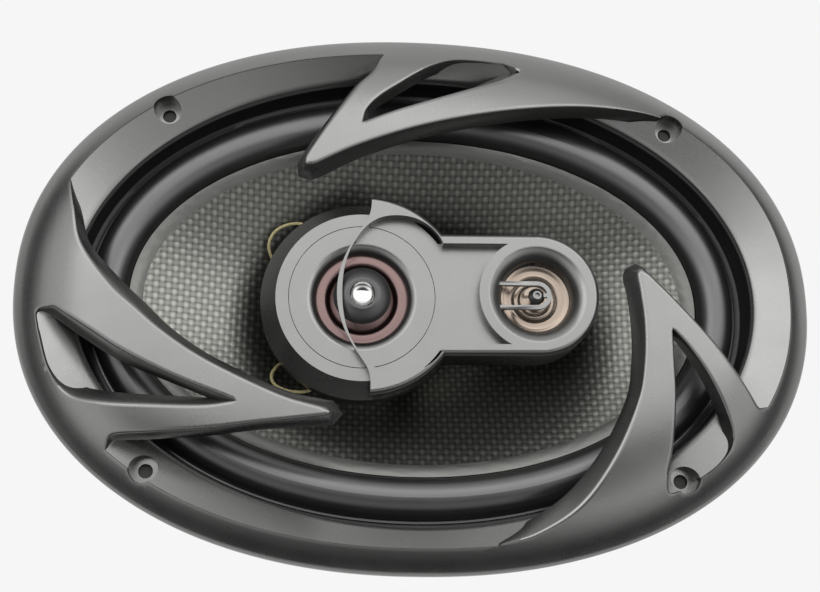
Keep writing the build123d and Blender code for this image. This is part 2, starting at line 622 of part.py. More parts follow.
crown = plug_cavity_radius + 0.8
plug_profile = make_face([
    Line((0, plug_base), (4.6, plug_base)),
    Spline((4.6, plug_base), (7.6, plug_level - 1.2), (plug_radius, plug_level),
           (7.5, plug_level + 1.7), (crown, plug_height)),
    Line((crown, plug_height), (plug_cavity_radius, plug_height)),
    Line((plug_cavity_radius, plug_height), (plug_cavity_radius, dish_rim)),
    Spline(*dish_points(plug_cavity_radius, dish_rim, dish_bottom)),
    Line((0, dish_bottom), (0, plug_base))])
plug = revolve(Plane.XZ * plug_profile, Axis.Z) + disc(1.2, film_level - 0.4, plug_base)
nodes["tweeter_phase_plug"] = pod_place * Pos(pod_disc_centre, 0, 0) * plug
mirror_top = [(radius, height + mirror_thickness)
              for radius, height in dish_points(plug_cavity_radius, dish_rim, dish_bottom)]
mirror_profile = make_face([
    Spline(*dish_points(plug_cavity_radius, dish_rim, dish_bottom)),
    Line((0, dish_bottom), mirror_top[-1]),
    Spline(*reversed(mirror_top)),
    Line(mirror_top[0], (plug_cavity_radius, dish_rim))])
nodes["phase_plug_mirror"] = pod_place * Pos(pod_disc_centre, 0, 0) * revolve(
    Plane.XZ * mirror_profile, Axis.Z)

# ---- supertweeter --------------------------------------------------------------------------
dish_floor = super_dish_height - 1.6
dish_profile = [(0.0, dish_floor + 0.9), (3.2, dish_floor + 0.3), (4.2, dish_floor),
                (5.2, dish_floor + 0.5), (6.2, dish_floor + 0.3), (7.4, dish_floor + 0.9),
                (8.4, dish_floor + 0.8), (super_throat_radius + 0.4, super_dish_height),
                (super_throat_radius + 2.0, super_dish_height)]
dish = turned(dish_profile + [(r, z - film_thickness) for r, z in reversed(dish_profile)])
nodes["supertweeter_diaphragm"] = pod_place * Pos(pod_arm_centre, 0, 0) * dish
super_motor_top = dish_floor - 0.8
nodes["supertweeter_motor"] = pod_place * disc(super_throat_radius + 1.0, inner_floor, super_motor_top,
                                               pod_arm_centre)
nodes["supertweeter_retainer"] = pod_place * disc(
    super_throat_radius + 2.1, super_dish_height + 0.2, super_seat + 1.1, pod_arm_centre,
    hole=super_throat_radius)
bridge = Pos(pod_arm_centre, 0) * Circle(bridge_half_width)
bridge += Pos(pod_arm_centre - 8, 0) * Rectangle(16, 2 * bridge_half_width)
bridge_hole = bridge_half_width - bridge_bar
bridge -= Pos(pod_arm_centre, 0) * Circle(bridge_hole)
bridge -= Pos(pod_arm_centre - 8, 0) * Rectangle(17, 2 * bridge_hole)
bridge_bars = extrude(Pos(0, 0, bridge_top - 1.4) * bridge, 1.4)
bridge_bars += block((pod_arm_centre + 1.9, pod_arm_centre + 3.6), (-0.6, 0.6),
                     (bridge_top - 1.4, bridge_top))
bridge_bars -= trim
nodes["supertweeter_bridge"] = pod_place * bridge_bars
bullet_top = bridge_top + 0.2
bullet = cone_stub(bullet_radius - 1.0, bullet_top - 3.6, bullet_radius, bullet_top - 1.6, pod_arm_centre)
bullet += cone_stub(bullet_radius, bullet_top - 1.6, 1.3, bullet_top, pod_arm_centre)
bullet -= disc(0.75, bullet_top - 1.0, bullet_top + 1, pod_arm_centre)
bullet -= bridge_bars
nodes["supertweeter_bullet"] = pod_place * bullet

# ---- crossover capacitor --------------------------------------------------------------------
capacitor_radius = 3.1
capacitor_length = 20.0
capacitor = Pos(14.2, 0, inner_floor + capacitor_radius) * Rot(90, 0, 0) * Cylinder(
    capacitor_radius, capacitor_length)
nodes["tweeter_capacitor"] = pod_place * capacitor

# ---- terminals on the basket's side ---------------------------------------------------------
board_half_width = 17.0
board_thickness = 1.6
board_top = -16.0
board_bottom = -35.0
pad_half_width = 8.0
pad_depth = 4.6                 # how far the pad stands out of the wall at its middle
board_middle = (board_top + board_bottom) / 2
fall = (ledge_height - 2.0 - board_middle) / (ledge_height - 2.0 - spider_shelf_height - 0.9)
wall_reach = rim_half_width - ledge_inset[1]
wall_reach += (spider_shelf_radius - wall_reach) * fall
board_face = -(wall_reach + basket_wall + pad_depth)
inner_space = oval_plug([inset(ledge_inset, 2.08, ledge_height - 2.0, grow=0.2),
                         circle(spider_shelf_radius + 0.3, spider_shelf_height + 0.9)])
pad = block((-pad_half_width, pad_half_width), (board_face, board_face + 20.0),
            (board_bottom + 3, board_top - 3)) - inner_space
pad_rivets = [(-4.5, board_middle), (4.5, board_middle)]
pad_rivet_radius = 1.5
pad_rivet_depth = 3.0


def side_disc(radius, x, z, y_range):
    """Disc whose axis runs along Y."""
    low, high = y_range
    return Pos(x, (low + high) / 2, z) * Rot(90, 0, 0) * Cylinder(radius, high - low)


nodes["basket"] += pad
rivet_span = (board_face - board_thickness, board_face + pad_rivet_depth)
shanks = [side_disc(pad_rivet_radius, x, z, rivet_span) for x, z in pad_rivets]
nodes["basket"] -= shanks
board = block((-board_half_width, board_half_width), (board_face - board_thickness, board_face),
              (board_bottom, board_top))
nodes["terminal_board"] = board - shanks
head_span = (board_face - board_thickness - 0.9, board_face - board_thickness)
nodes["terminal_rivets"] = Compound([
    shank + side_disc(pad_rivet_radius * 1.8, x, z, head_span)
    for shank, (x, z) in zip(shanks, pad_rivets)])

tab_thickness = 0.8
tab_drop = 8.5                  # length that hangs below the board
outer_face = board_face - board_thickness


def terminal_tab(centre, width):
    """Male spade tab: a flat blade with a rounded tip and a locking hole."""
    low, high = board_bottom - tab_drop, board_bottom + 8.0
    blade = block((centre - width / 2, centre + width / 2), (outer_face - tab_thickness, outer_face),
                  (low, high))
    blade = fillet(blade.edges().filter_by(Axis.Y).group_by(Axis.Z)[0], 0.9)
    span = (outer_face - 2, outer_face + 1)
    return blade - side_disc(0.8, centre, low + 3.5, span)


tab_centre = 11.5
nodes["terminal_tab_positive"] = terminal_tab(tab_centre, 6.3)
nodes["terminal_tab_negative"] = terminal_tab(-tab_centre, 2.8)

# ---- leads: braided, round, held at both ends ------------------------------------------------
lead_radius = 0.5
bead_radius = 1.5
bead_height = 0.6
lead_gap = 0.4                  # between a lead's end and what it is soldered to


def lead_tube(name, points):
    """Round lead along straight runs joined by tangent arcs, as large as the runs allow."""
    corners = [Vector(*point) for point in points]
    radii = []
    for before, here, after in zip(corners, corners[1:], corners[2:]):
        come, go = here - before, after - here
        turn = radians(come.get_angle(go))
        radii.append(0.45 * min(come.length, go.length) / tan(turn / 2))
    path = FilletPolyline(*corners, radius=radii)
    tube = sweep(Plane(path @ 0, z_dir=path % 0) * Circle(lead_radius), path)
    print(name, "length", round(path.length, 1), "radii", [round(radius, 1) for radius in radii],
          "volume ratio", round(tube.volume / (pi * lead_radius ** 2 * path.length), 4))
    return tube


def cone_height(x, y):
    """Height of the cone's front at a place in plan, found by halving."""
    low, high = 0.0, 1.0
    for step in range(40):
        share = (low + high) / 2
        half_length, half_width, power, height = cone_place(share)
        if abs(x / half_length) ** power + abs(y / half_width) ** power > 1:
            low = share
        else:
            high = share
    return height


upper_end, lower_end = (-41.5, 13.0), (-38.5, -15.5)
rear_end_x, rear_end_y = 12.0, -36.0
front_top = {place: cone_height(*place) + bead_height + 0.5 for place in (upper_end, lower_end)}
upper_route = [(-31.0, 24.3, pod_bottom - lead_gap), (-32.2, 25.6, -14.4), (-36.0, 27.6, -15.5),
               (-40.6, 27.3, -15.3), (-44.8, 24.9, -15.0), (-46.8, 21.2, -15.4), (-46.4, 17.4, -17.0),
               (-44.2, 14.6, -19.0), upper_end + (front_top[upper_end] + lead_gap,)]
lower_route = [(-29.6, -25.6, pod_bottom - lead_gap), (-31.4, -27.0, -14.4), (-35.6, -27.5, -15.3),
               (-40.0, -26.9, -15.5), (-43.6, -25.0, -15.4), (-44.4, -21.9, -16.0),
               (-42.6, -18.8, -17.6), (-40.4, -16.6, -19.6), lower_end + (front_top[lower_end] + lead_gap,)]
nodes["front_lead_upper"] = lead_tube("front_lead_upper", upper_route)
nodes["front_lead_lower"] = lead_tube("front_lead_lower", lower_route)
bowl = oval_plug(front)
nodes["front_solder"] = Compound([
    disc(bead_radius, cone_height(x, y) - 3.0, front_top[x, y], x, y) & bowl
    for x, y in (upper_end, lower_end)])

rear_height = cone_height(rear_end_x, rear_end_y) - edge_drop - bead_height - 0.9
rear_route = [(15.4, board_face + lead_gap, -24.0), (15.9, board_face + 5.5, -24.6),
              (16.6, board_face + 11.5, -28.5), (15.6, board_face + 18.0, -29.6),
              (13.6, board_face + 23.6, -26.6), (rear_end_x, rear_end_y - 1.6, rear_height - lead_gap)]
behind_cone = oval_plug([lower(place, edge_drop) for place in front])
nodes["rear_solder"] = Compound([
    disc(bead_radius, rear_height, rear_height + 4.0, x, rear_end_y) - behind_cone
    for x in (-rear_end_x, rear_end_x)])
nodes["rear_lead_positive"] = lead_tube("rear_lead_positive", rear_route)
nodes["rear_lead_negative"] = lead_tube("rear_lead_negative", [(-x, y, z) for x, y, z in rear_route])

os.makedirs("parts", exist_ok=True)
for name, solid in nodes.items():
    export_step(solid, f"parts/{name}.step")
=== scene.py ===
import bpy
import bmesh
import json
import numpy as np
from math import copysign, cos, pi, radians, sin
from mathutils import Matrix, Vector, noise
from mathutils.geometry import delaunay_2d_cdt
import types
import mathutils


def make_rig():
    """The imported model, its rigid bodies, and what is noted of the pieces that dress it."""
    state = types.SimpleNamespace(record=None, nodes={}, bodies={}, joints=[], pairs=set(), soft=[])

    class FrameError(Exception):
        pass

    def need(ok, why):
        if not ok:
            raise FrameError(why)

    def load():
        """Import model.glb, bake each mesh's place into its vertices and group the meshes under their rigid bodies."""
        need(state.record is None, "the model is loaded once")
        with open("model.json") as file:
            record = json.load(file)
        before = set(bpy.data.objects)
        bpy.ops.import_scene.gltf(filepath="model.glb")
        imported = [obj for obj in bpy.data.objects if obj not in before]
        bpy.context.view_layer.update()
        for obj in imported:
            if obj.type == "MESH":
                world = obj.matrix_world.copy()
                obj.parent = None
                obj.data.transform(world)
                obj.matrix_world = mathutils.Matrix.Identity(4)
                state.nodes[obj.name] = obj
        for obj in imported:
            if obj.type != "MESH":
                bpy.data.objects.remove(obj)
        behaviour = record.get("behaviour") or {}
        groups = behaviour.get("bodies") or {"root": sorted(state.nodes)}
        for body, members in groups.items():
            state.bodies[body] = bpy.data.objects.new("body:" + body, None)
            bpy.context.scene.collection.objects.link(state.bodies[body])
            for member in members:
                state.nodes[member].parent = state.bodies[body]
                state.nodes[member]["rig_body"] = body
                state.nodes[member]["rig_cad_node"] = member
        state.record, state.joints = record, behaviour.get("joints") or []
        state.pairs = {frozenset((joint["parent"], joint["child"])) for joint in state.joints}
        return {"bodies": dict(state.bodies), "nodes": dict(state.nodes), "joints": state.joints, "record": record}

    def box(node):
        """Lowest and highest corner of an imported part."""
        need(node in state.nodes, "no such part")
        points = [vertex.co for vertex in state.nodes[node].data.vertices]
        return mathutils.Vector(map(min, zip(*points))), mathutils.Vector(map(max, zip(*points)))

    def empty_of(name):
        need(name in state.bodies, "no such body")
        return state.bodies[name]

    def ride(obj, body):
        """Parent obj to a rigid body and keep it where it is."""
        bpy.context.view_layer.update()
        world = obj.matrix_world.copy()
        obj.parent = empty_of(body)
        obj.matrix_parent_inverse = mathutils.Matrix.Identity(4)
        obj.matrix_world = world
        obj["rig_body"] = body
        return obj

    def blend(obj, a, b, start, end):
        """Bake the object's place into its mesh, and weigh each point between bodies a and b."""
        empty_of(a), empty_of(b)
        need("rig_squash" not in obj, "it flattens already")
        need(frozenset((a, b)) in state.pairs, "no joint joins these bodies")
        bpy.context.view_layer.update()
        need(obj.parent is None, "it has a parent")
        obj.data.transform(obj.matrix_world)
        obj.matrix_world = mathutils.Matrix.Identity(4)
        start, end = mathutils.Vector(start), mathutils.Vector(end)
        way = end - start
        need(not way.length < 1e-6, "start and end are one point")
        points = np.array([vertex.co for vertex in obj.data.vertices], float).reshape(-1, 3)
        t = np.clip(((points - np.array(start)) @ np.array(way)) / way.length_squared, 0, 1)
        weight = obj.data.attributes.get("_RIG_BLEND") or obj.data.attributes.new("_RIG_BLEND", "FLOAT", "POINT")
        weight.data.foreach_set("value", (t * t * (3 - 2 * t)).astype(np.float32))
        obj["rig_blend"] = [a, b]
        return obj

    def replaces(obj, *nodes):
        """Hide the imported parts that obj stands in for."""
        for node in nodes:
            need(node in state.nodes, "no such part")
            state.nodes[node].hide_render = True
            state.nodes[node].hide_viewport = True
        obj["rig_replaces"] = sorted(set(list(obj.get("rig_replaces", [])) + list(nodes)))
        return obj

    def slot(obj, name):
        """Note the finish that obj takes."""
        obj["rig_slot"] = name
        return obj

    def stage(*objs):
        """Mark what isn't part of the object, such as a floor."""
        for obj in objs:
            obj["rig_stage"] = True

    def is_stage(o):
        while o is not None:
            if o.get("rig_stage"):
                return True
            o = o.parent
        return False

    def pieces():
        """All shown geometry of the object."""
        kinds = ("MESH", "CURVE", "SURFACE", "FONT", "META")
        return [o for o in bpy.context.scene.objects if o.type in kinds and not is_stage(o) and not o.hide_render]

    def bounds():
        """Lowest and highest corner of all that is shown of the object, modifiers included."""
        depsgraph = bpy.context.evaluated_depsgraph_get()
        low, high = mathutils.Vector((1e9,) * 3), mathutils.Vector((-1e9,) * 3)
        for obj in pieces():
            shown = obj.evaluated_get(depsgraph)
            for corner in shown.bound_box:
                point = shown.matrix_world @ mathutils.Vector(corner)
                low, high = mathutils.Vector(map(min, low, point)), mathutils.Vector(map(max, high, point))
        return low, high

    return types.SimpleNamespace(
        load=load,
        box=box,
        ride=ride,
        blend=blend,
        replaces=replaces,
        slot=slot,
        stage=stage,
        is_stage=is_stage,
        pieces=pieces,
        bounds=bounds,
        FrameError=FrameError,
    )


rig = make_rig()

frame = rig.load()
size_at_load = [list(corner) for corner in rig.bounds()]

# ---- camera, floor and light ----------------------------------------------------------------
# A long lens looks down on the speaker's face from the front, a little to the left of its middle.
# The floor is pale paper under the motor.
MM = 0.001


def linked(name, data):
    made = bpy.data.objects.new(name, data)
    bpy.context.scene.collection.objects.link(made)
    return made


camera = linked("camera", bpy.data.cameras.new("camera"))
camera.location = (-27.2 * MM, -99.9 * MM, 360.6 * MM)
camera.rotation_euler = (radians(15.44), radians(-4.11), radians(0.63))
camera.data.sensor_width = 36.0
camera.data.lens = 54.0
camera.data.clip_start = 0.01
bpy.context.scene.camera = camera
bpy.context.scene.view_settings.view_transform = "Standard"


def linear(code):
    """Scene-linear colour of an sRGB hex code."""
    parts = [int(code[k:k + 2], 16) / 255 for k in (1, 3, 5)]
    return tuple(p / 12.92 if p <= 0.04045 else ((p + 0.055) / 1.055) ** 2.4 for p in parts) + (1.0,)


def add(tree, kind, links=None, **values):
    """New node; values set its properties or its unlinked sockets, links join sockets to it."""
    node = tree.nodes.new(kind)
    for key, value in values.items():
        if hasattr(node, key):
            setattr(node, key, value)
    for key, value in values.items():
        if not hasattr(node, key):
            node.inputs[key.replace("_", " ")].default_value = value
    for key, source in (links or {}).items():
        tree.links.new(source, node.inputs[key])
    return node


def blank_material(name):
    made = bpy.data.materials.new(name)
    made.use_nodes = True
    made.node_tree.nodes.clear()
    return made, made.node_tree


def plane(name, width, depth):
    mesh = bpy.data.meshes.new(name)
    x, y = width / 2, depth / 2
    mesh.from_pydata([(-x, -y, 0), (x, -y, 0), (x, y, 0), (-x, y, 0)], [], [(0, 1, 2, 3)])
    return linked(name, mesh)


floor = plane("floor", 6.0, 6.0)
floor.location.z = -82.2 * MM
paper, tree = blank_material("pale_paper")
glow = add(tree, "ShaderNodeEmission", Color=linear("#f6f6f6"), Strength=1.0)
add(tree, "ShaderNodeOutputMaterial", {"Surface": glow.outputs[0]})
floor.data.materials.append(paper)
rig.stage(floor)


def softbox(name, place, aim, width, depth, power):
    lamp = bpy.data.lights.new(name, "AREA")
    lamp.shape = "RECTANGLE"
    lamp.size, lamp.size_y = width, depth
    lamp.energy = power
    made = linked(name, lamp)
    made.location = place
    made.rotation_euler = (Vector(aim) - Vector(place)).to_track_quat("-Z", "Y").to_euler()


softbox("top_softbox", (0.0, 0.17, 0.42), (0.0, 0.17, 0.0), 0.74, 0.4, 1.75)

# The room glows in a belt above the horizon and at the back; the softbox fills the middle overhead.
sky = bpy.data.worlds.new("studio")
bpy.context.scene.world = sky
sky.use_nodes = True
tree = sky.node_tree
tree.nodes.clear()
where = add(tree, "ShaderNodeTexCoord")
split = add(tree, "ShaderNodeSeparateXYZ", {0: where.outputs["Generated"]})
rise = add(tree, "ShaderNodeMapRange", {"Value": split.outputs["Z"]}, From_Min=0.3, From_Max=0.52,
           To_Min=0.015, To_Max=1.2)
fall = add(tree, "ShaderNodeMapRange", {"Value": split.outputs["Z"]}, From_Min=0.8, From_Max=0.93,
           To_Min=1.2, To_Max=0.08)
ring = add(tree, "ShaderNodeMath", {0: rise.outputs[0], 1: fall.outputs[0]}, operation="MINIMUM")
fore = add(tree, "ShaderNodeMapRange", {"Value": split.outputs["Y"]}, From_Min=-0.8, From_Max=-0.4,
           To_Min=0.15, To_Max=1.0)
ring = add(tree, "ShaderNodeMath", {0: ring.outputs[0], 1: fore.outputs[0]}, operation="MULTIPLY")
behind = add(tree, "ShaderNodeMapRange", {"Value": split.outputs["Y"]}, From_Min=0.6, From_Max=1.0,
             To_Min=0.0, To_Max=1.0)
level = add(tree, "ShaderNodeMath", {0: ring.outputs[0], 1: behind.outputs[0]}, operation="MAXIMUM")
add(tree, "ShaderNodeOutputWorld", {"Surface": add(
    tree, "ShaderNodeBackground", {"Strength": level.outputs[0]}, Color=linear("#ffffff")).outputs[0]})


# ---- grille ---------------------------------------------------------------------------------
# The oval rim and its three swept claws: one injection moulding in dark grey ABS with a fine grain.
# Four screws through its counterbored corners hold it and the basket to the panel.
def coated(name, base, rough, mottle=0.0, grain=0.0, grain_size=0.4, ior=1.5, metallic=0.0,
           coat=0.0, darker=None, shine=0.5):
    """Solid finish: base colour with a slow mottle, a grain bump of real size, and uneven gloss."""
    made, tree = blank_material(name)
    place = add(tree, "ShaderNodeTexCoord")
    surface = add(tree, "ShaderNodeBsdfPrincipled", Metallic=metallic, IOR=ior, Coat_Weight=coat,
                  Coat_Roughness=rough, Specular_IOR_Level=shine)
    slow = add(tree, "ShaderNodeTexNoise", {"Vector": place.outputs["Object"]},
               Scale=60.0, Detail=4.0, Roughness=0.6)
    mix = add(tree, "ShaderNodeMix", {"Factor": slow.outputs["Fac"]}, data_type="RGBA")
    mix.inputs[6].default_value = linear(base)
    mix.inputs[7].default_value = linear(darker or base)
    tree.links.new(mix.outputs[2], surface.inputs["Base Color"])
    gloss = add(tree, "ShaderNodeMapRange", {"Value": slow.outputs["Fac"]},
                From_Min=0.25, From_Max=0.75, To_Min=rough - mottle, To_Max=rough + mottle)
    tree.links.new(gloss.outputs[0], surface.inputs["Roughness"])
    if grain:
        fine = add(tree, "ShaderNodeTexNoise", {"Vector": place.outputs["Object"]},
                   Scale=1000.0 / grain_size, Detail=2.0, Roughness=0.5)
        bump = add(tree, "ShaderNodeBump", {"Height": fine.outputs["Fac"]},
                   Strength=grain, Distance=0.05 * MM)
        tree.links.new(bump.outputs[0], surface.inputs["Normal"])
    add(tree, "ShaderNodeOutputMaterial", {"Surface": surface.outputs[0]})
    return made


def shown(name, mesh, finish, slot, body):
    """Finished piece at the origin, riding on a body."""
    made = linked(name, mesh)
    mesh.materials.clear()
    mesh.materials.append(finish)
    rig.slot(made, slot)
    if body:
        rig.ride(made, body)
    return made


def edited(mesh, change):
    """Put a mesh through one edit that works on its bmesh."""
    work = bmesh.new()
    work.from_mesh(mesh)
    change(work)
    work.to_mesh(mesh)
    work.free()
    return mesh


def baked(holder):
    """Mesh of an object with its modifiers applied; the object is removed."""
    bpy.context.view_layer.update()
    graph = bpy.context.evaluated_depsgraph_get()
    result = bpy.data.meshes.new_from_object(holder.evaluated_get(graph))
    bpy.data.objects.remove(holder)
    return result


def softened(node, edge, steps=2, angle=32.0, smooth=32.0):
    """Mesh of a CAD node with welded vertices, flat faces merged and its sharp edges rounded."""
    work = bmesh.new()
    work.from_mesh(frame["nodes"][node].data)
    bmesh.ops.remove_doubles(work, verts=work.verts, dist=0.002 * MM)
    bmesh.ops.dissolve_limit(work, angle_limit=radians(0.4), verts=work.verts, edges=work.edges)
    mesh = bpy.data.meshes.new(node)
    work.to_mesh(mesh)
    work.free()
    for face in mesh.polygons:
        face.use_smooth = True
    holder = linked(node + "_work", mesh)
    if edge:
        bevel = holder.modifiers.new("round", "BEVEL")
        bevel.width = edge * MM
        bevel.segments = steps
        bevel.limit_method = "ANGLE"
        bevel.angle_limit = radians(angle)
        bevel.miter_outer = "MITER_ARC"
        level_faces = holder.modifiers.new("flat", "WEIGHTED_NORMAL")
        level_faces.keep_sharp = True
        level_faces.weight = 100
    result = baked(holder)
    result.set_sharp_from_angle(angle=radians(smooth))
    return result


def from_cad(node, finish, slot, body="frame", edge=0.3, steps=2, name=None, **kind):
    made = shown(name or node + "_piece", softened(node, edge, steps, **kind), finish, slot, body)
    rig.replaces(made, node)
    return made


RIM_LENGTH, RIM_WIDTH, RIM_ROUNDNESS, RIM_SIDE = 120.0, 83.4, 2.17, 4.0
RIDGE, CLAW_DEPTH, CLAW_LAND = 7.4, 5.5, 3.0
SCREW_PLACES = [(78.0 * i, 55.0 * j) for i in (1, -1) for j in (1, -1)]
SCREW_HEAD, SCREW_HOLE, SCREW_FLOOR = 4.05, 2.1, 2.8
EDGE_ROUND, RIDGE_LIP = 0.5, 1.2
RIM_AROUND = 420                # points round the rim
MESH_STEP = 1.25                # spacing of the claws' inner points
EDGE_ROW, EDGE_GAP, MERGE_GAP = 1.1, 1.0, 1e-4


def oval_loop(half_length, half_width, power, height, around):
    turn = np.linspace(0, 2 * pi, around, endpoint=False)
    c, s = np.cos(turn), np.sin(turn)
    x = np.sign(c) * np.abs(c) ** (2 / power) * half_length
    y = np.sign(s) * np.abs(s) ** (2 / power) * half_width
    return np.stack([x, y, np.full(around, height)], 1)


def rim_loop(depth):
    return oval_loop(RIM_LENGTH - depth, RIM_WIDTH - depth, RIM_ROUNDNESS, 0.0, RIM_AROUND)


def rim_place(angle, depth_in):
    c, s = cos(radians(angle)), sin(radians(angle))
    power = 2 / RIM_ROUNDNESS
    return (copysign(abs(c) ** power, c) * (RIM_LENGTH - depth_in),
            copysign(abs(s) ** power, s) * (RIM_WIDTH - depth_in))


def dome_depth(x, y):
    """How far in from the rim's edge each place lies, found by halving."""
    low, high = np.zeros_like(x), np.full_like(x, 80.0)
    for step in range(30):
        depth = (low + high) / 2
        out = (np.abs(x / (RIM_LENGTH - depth)) ** RIM_ROUNDNESS
               + np.abs(y / (RIM_WIDTH - depth)) ** RIM_ROUNDNESS) < 1
        low, high = np.where(out, depth, low), np.where(out, high, depth)
    return (low + high) / 2


def dome_height(depth):
    return RIM_SIDE + 12.0 * (1 - np.exp(-depth / 11.35))


# each outline is joined edges of (angle round the rim, depth in from its edge, lean of the wall below)
claw_outlines = [
    [[(94.0, 3.0, 0.0), (95.2, 7.4, 1.6), (97.1, 14.4, 2.0), (99.8, 19.1, 2.0), (106.1, 30.0, 2.0),
      (113.4, 39.9, 2.2), (115.1, 42.3, 2.6)],
     [(115.1, 42.3, 2.6), (115.2, 43.6, 3.6), (113.6, 43.9, 3.2)],
     [(113.6, 43.9, 3.2), (102.0, 39.2, 2.6), (89.7, 32.9, 2.3), (76.7, 25.9, 2.0),
      (63.6, 18.0, 1.6), (53.0, 11.2, 1.2), (46.0, 7.4, 0.5), (40.0, 3.0, 0.0)],
     [(a, CLAW_LAND, 0.0) for a in (40.0, 49.0, 58.0, 67.0, 76.0, 85.0, 94.0)]],
    [[(154.0, 3.0, 0.0), (158.5, 8.0, 0.5), (164.5, 13.8, 1.4), (172.7, 19.8, 2.2), (181.9, 29.3, 3.6),
      (190.5, 36.4, 3.4), (200.4, 40.8, 2.8), (213.0, 43.8, 2.5), (225.5, 45.0, 2.5),
      (240.5, 44.3, 2.6), (249.9, 43.8, 3.2)],
     [(249.9, 43.8, 3.2), (252.1, 43.0, 4.0), (251.4, 41.5, 2.0)],
     [(251.4, 41.5, 2.0), (239.0, 34.7, 1.3), (230.9, 27.6, 1.3), (222.6, 18.5, 1.3),
      (219.3, 13.9, 1.2)],
     [(219.3, 13.9, 1.2), (218.1, 10.9, 1.2), (219.6, 7.4, 1.0)],
     [(219.6, 7.4, 1.0), (221.5, 3.0, 0.0)],
     [(a, CLAW_LAND, 0.0) for a in (221.5, 211.0, 201.0, 191.0, 181.0, 172.0, 163.0, 154.0)]],
    [[(274.0, 3.0, 0.0), (280.0, 7.4, 2.5), (286.3, 9.5, 4.4), (294.3, 14.7, 4.8), (304.3, 24.6, 3.8),
      (317.4, 36.0, 2.8), (328.4, 43.9, 3.0), (343.1, 51.1, 3.2), (359.1, 54.7, 3.2),
      (368.3, 54.8, 3.6)],
     [(368.3, 54.8, 3.6), (370.5, 53.6, 3.6), (367.3, 51.6, 2.0)],
     [(367.3, 51.6, 2.0), (356.4, 44.3, 1.3), (344.9, 30.5, 1.3), (338.6, 19.5, 1.3),
      (335.8, 13.2, 1.2)],
     [(335.8, 13.2, 1.2), (334.6, 9.6, 1.2), (336.0, 7.4, 1.0)],
     [(336.0, 7.4, 1.0), (338.0, 3.0, 0.0)],
     [(a, CLAW_LAND, 0.0) for a in (338.0, 329.0, 320.0, 311.0, 302.0, 293.0, 283.0, 274.0)]],
]
window_outlines = [
    [[(100.6, 32.2, -2.4), (99.3, 27.8, -0.9), (96.8, 23.5, -1.0), (93.4, 18.9, -1.2),
      (89.7, 12.8, -1.2), (86.3, 8.9, -1.0), (82.5, 8.0, -0.8), (78.4, 7.8, -0.8)],
     [(78.4, 7.8, -0.8), (75.4, 10.0, -3.6), (78.0, 15.2, -3.8)],
     [(78.0, 15.2, -3.8), (85.9, 22.0, -1.2), (93.6, 27.9, -1.2), (100.6, 32.2, -2.4)]],
    [[(190.0, 7.9, -0.8), (186.6, 8.2, -0.8), (186.3, 13.1, -2.0)],
     [(186.3, 13.1, -2.0), (193.1, 21.9, -2.6), (202.2, 28.7, -2.4), (215.6, 35.0, -1.4),
      (231.8, 38.3, -1.5)],
     [(231.8, 38.3, -1.5), (226.4, 32.8, -3.2), (217.8, 24.4, -3.7), (211.0, 15.3, -4.2),
      (206.0, 9.4, -4.4), (199.0, 7.9, -1.6), (190.0, 7.9, -0.8)]],
    [[(344.8, 43.3, -0.1), (340.8, 37.0, -0.5), (335.5, 28.1, -0.8), (329.9, 17.8, -1.2),
      (325.4, 10.0, -1.2), (320.0, 7.7, -0.8), (312.0, 7.6, -0.8)],
     [(312.0, 7.6, -0.8), (309.0, 8.8, -0.8), (311.0, 14.2, -1.0)],
     [(311.0, 14.2, -1.0), (316.0, 20.7, -1.0), (324.8, 30.4, -0.8), (333.7, 37.8, -0.5),
      (344.8, 43.3, -0.1)]],
]


def smooth_edge(edge, spacing=0.9):
    """Evenly spaced (x, y, lean) points along the curve through an edge's places."""
    places = np.array([rim_place(angle, depth) + (lean,) for angle, depth, lean in edge])
    if len(places) == 2:
        curve = np.linspace(places[0], places[1], 40)
    else:
        padded = np.vstack([2 * places[0] - places[1], places, 2 * places[-1] - places[-2]])
        pieces = []
        for k in range(1, len(padded) - 2):
            p0, p1, p2, p3 = padded[k - 1:k + 3]
            t = np.linspace(0, 1, 30)[:, None]
            pieces.append(0.5 * (2 * p1 + (p2 - p0) * t + (2 * p0 - 5 * p1 + 4 * p2 - p3) * t ** 2
                                 + (3 * p1 - p0 - 3 * p2 + p3) * t ** 3))
        curve = np.vstack(pieces)
    run = np.concatenate([[0], np.cumsum(np.hypot(*np.diff(curve[:, :2], axis=0).T))])
    steps = max(2, int(run[-1] / spacing))
    at = np.linspace(0, run[-1], steps + 1)[:-1]
    return np.stack([np.interp(at, run, curve[:, k]) for k in range(3)], 1)


def within(x, y, loop):
    """Whether places lie in a closed loop, by counting crossings."""
    inside = np.zeros(x.shape, bool)
    for (ax, ay), (bx, by) in zip(loop[:, :2], np.roll(loop[:, :2], -1, axis=0)):
        crosses = (ay > y) != (by > y)
        inside ^= crosses & (x < (bx - ax) * (y - ay) / (by - ay if by != ay else 1e-9) + ax)
    return inside


def clear_of(places, walls, gap):
    """Places that are farther than the gap from every wall point."""
    keep = np.ones(len(places), bool)
    for chunk in range(0, len(places), 2000):
        part = places[chunk:chunk + 2000]
        far = ((part[:, None, :] - walls[None, :, :]) ** 2).sum(2).min(1)
        keep[chunk:chunk + 2000] = far > gap ** 2
    return places[keep]


def beside(loop, gap):
    """Points at the gap on both sides of a closed outline, so that its edges shade evenly."""
    run = np.roll(loop[:, :2], -1, axis=0) - np.roll(loop[:, :2], 1, axis=0)
    out = np.stack([run[:, 1], -run[:, 0]], 1) / np.maximum(np.hypot(*run.T), 1e-9)[:, None]
    return np.vstack([loop[:, :2] + gap * out, loop[:, :2] - gap * out])


def border(faces):
    """Directed edges that only one face has."""
    edges = {}
    for face in faces:
        for pair in zip(face, face[1:] + face[:1]):
            if pair[::-1] in edges:
                del edges[pair[::-1]]
            else:
                edges[pair] = True
    return list(edges)


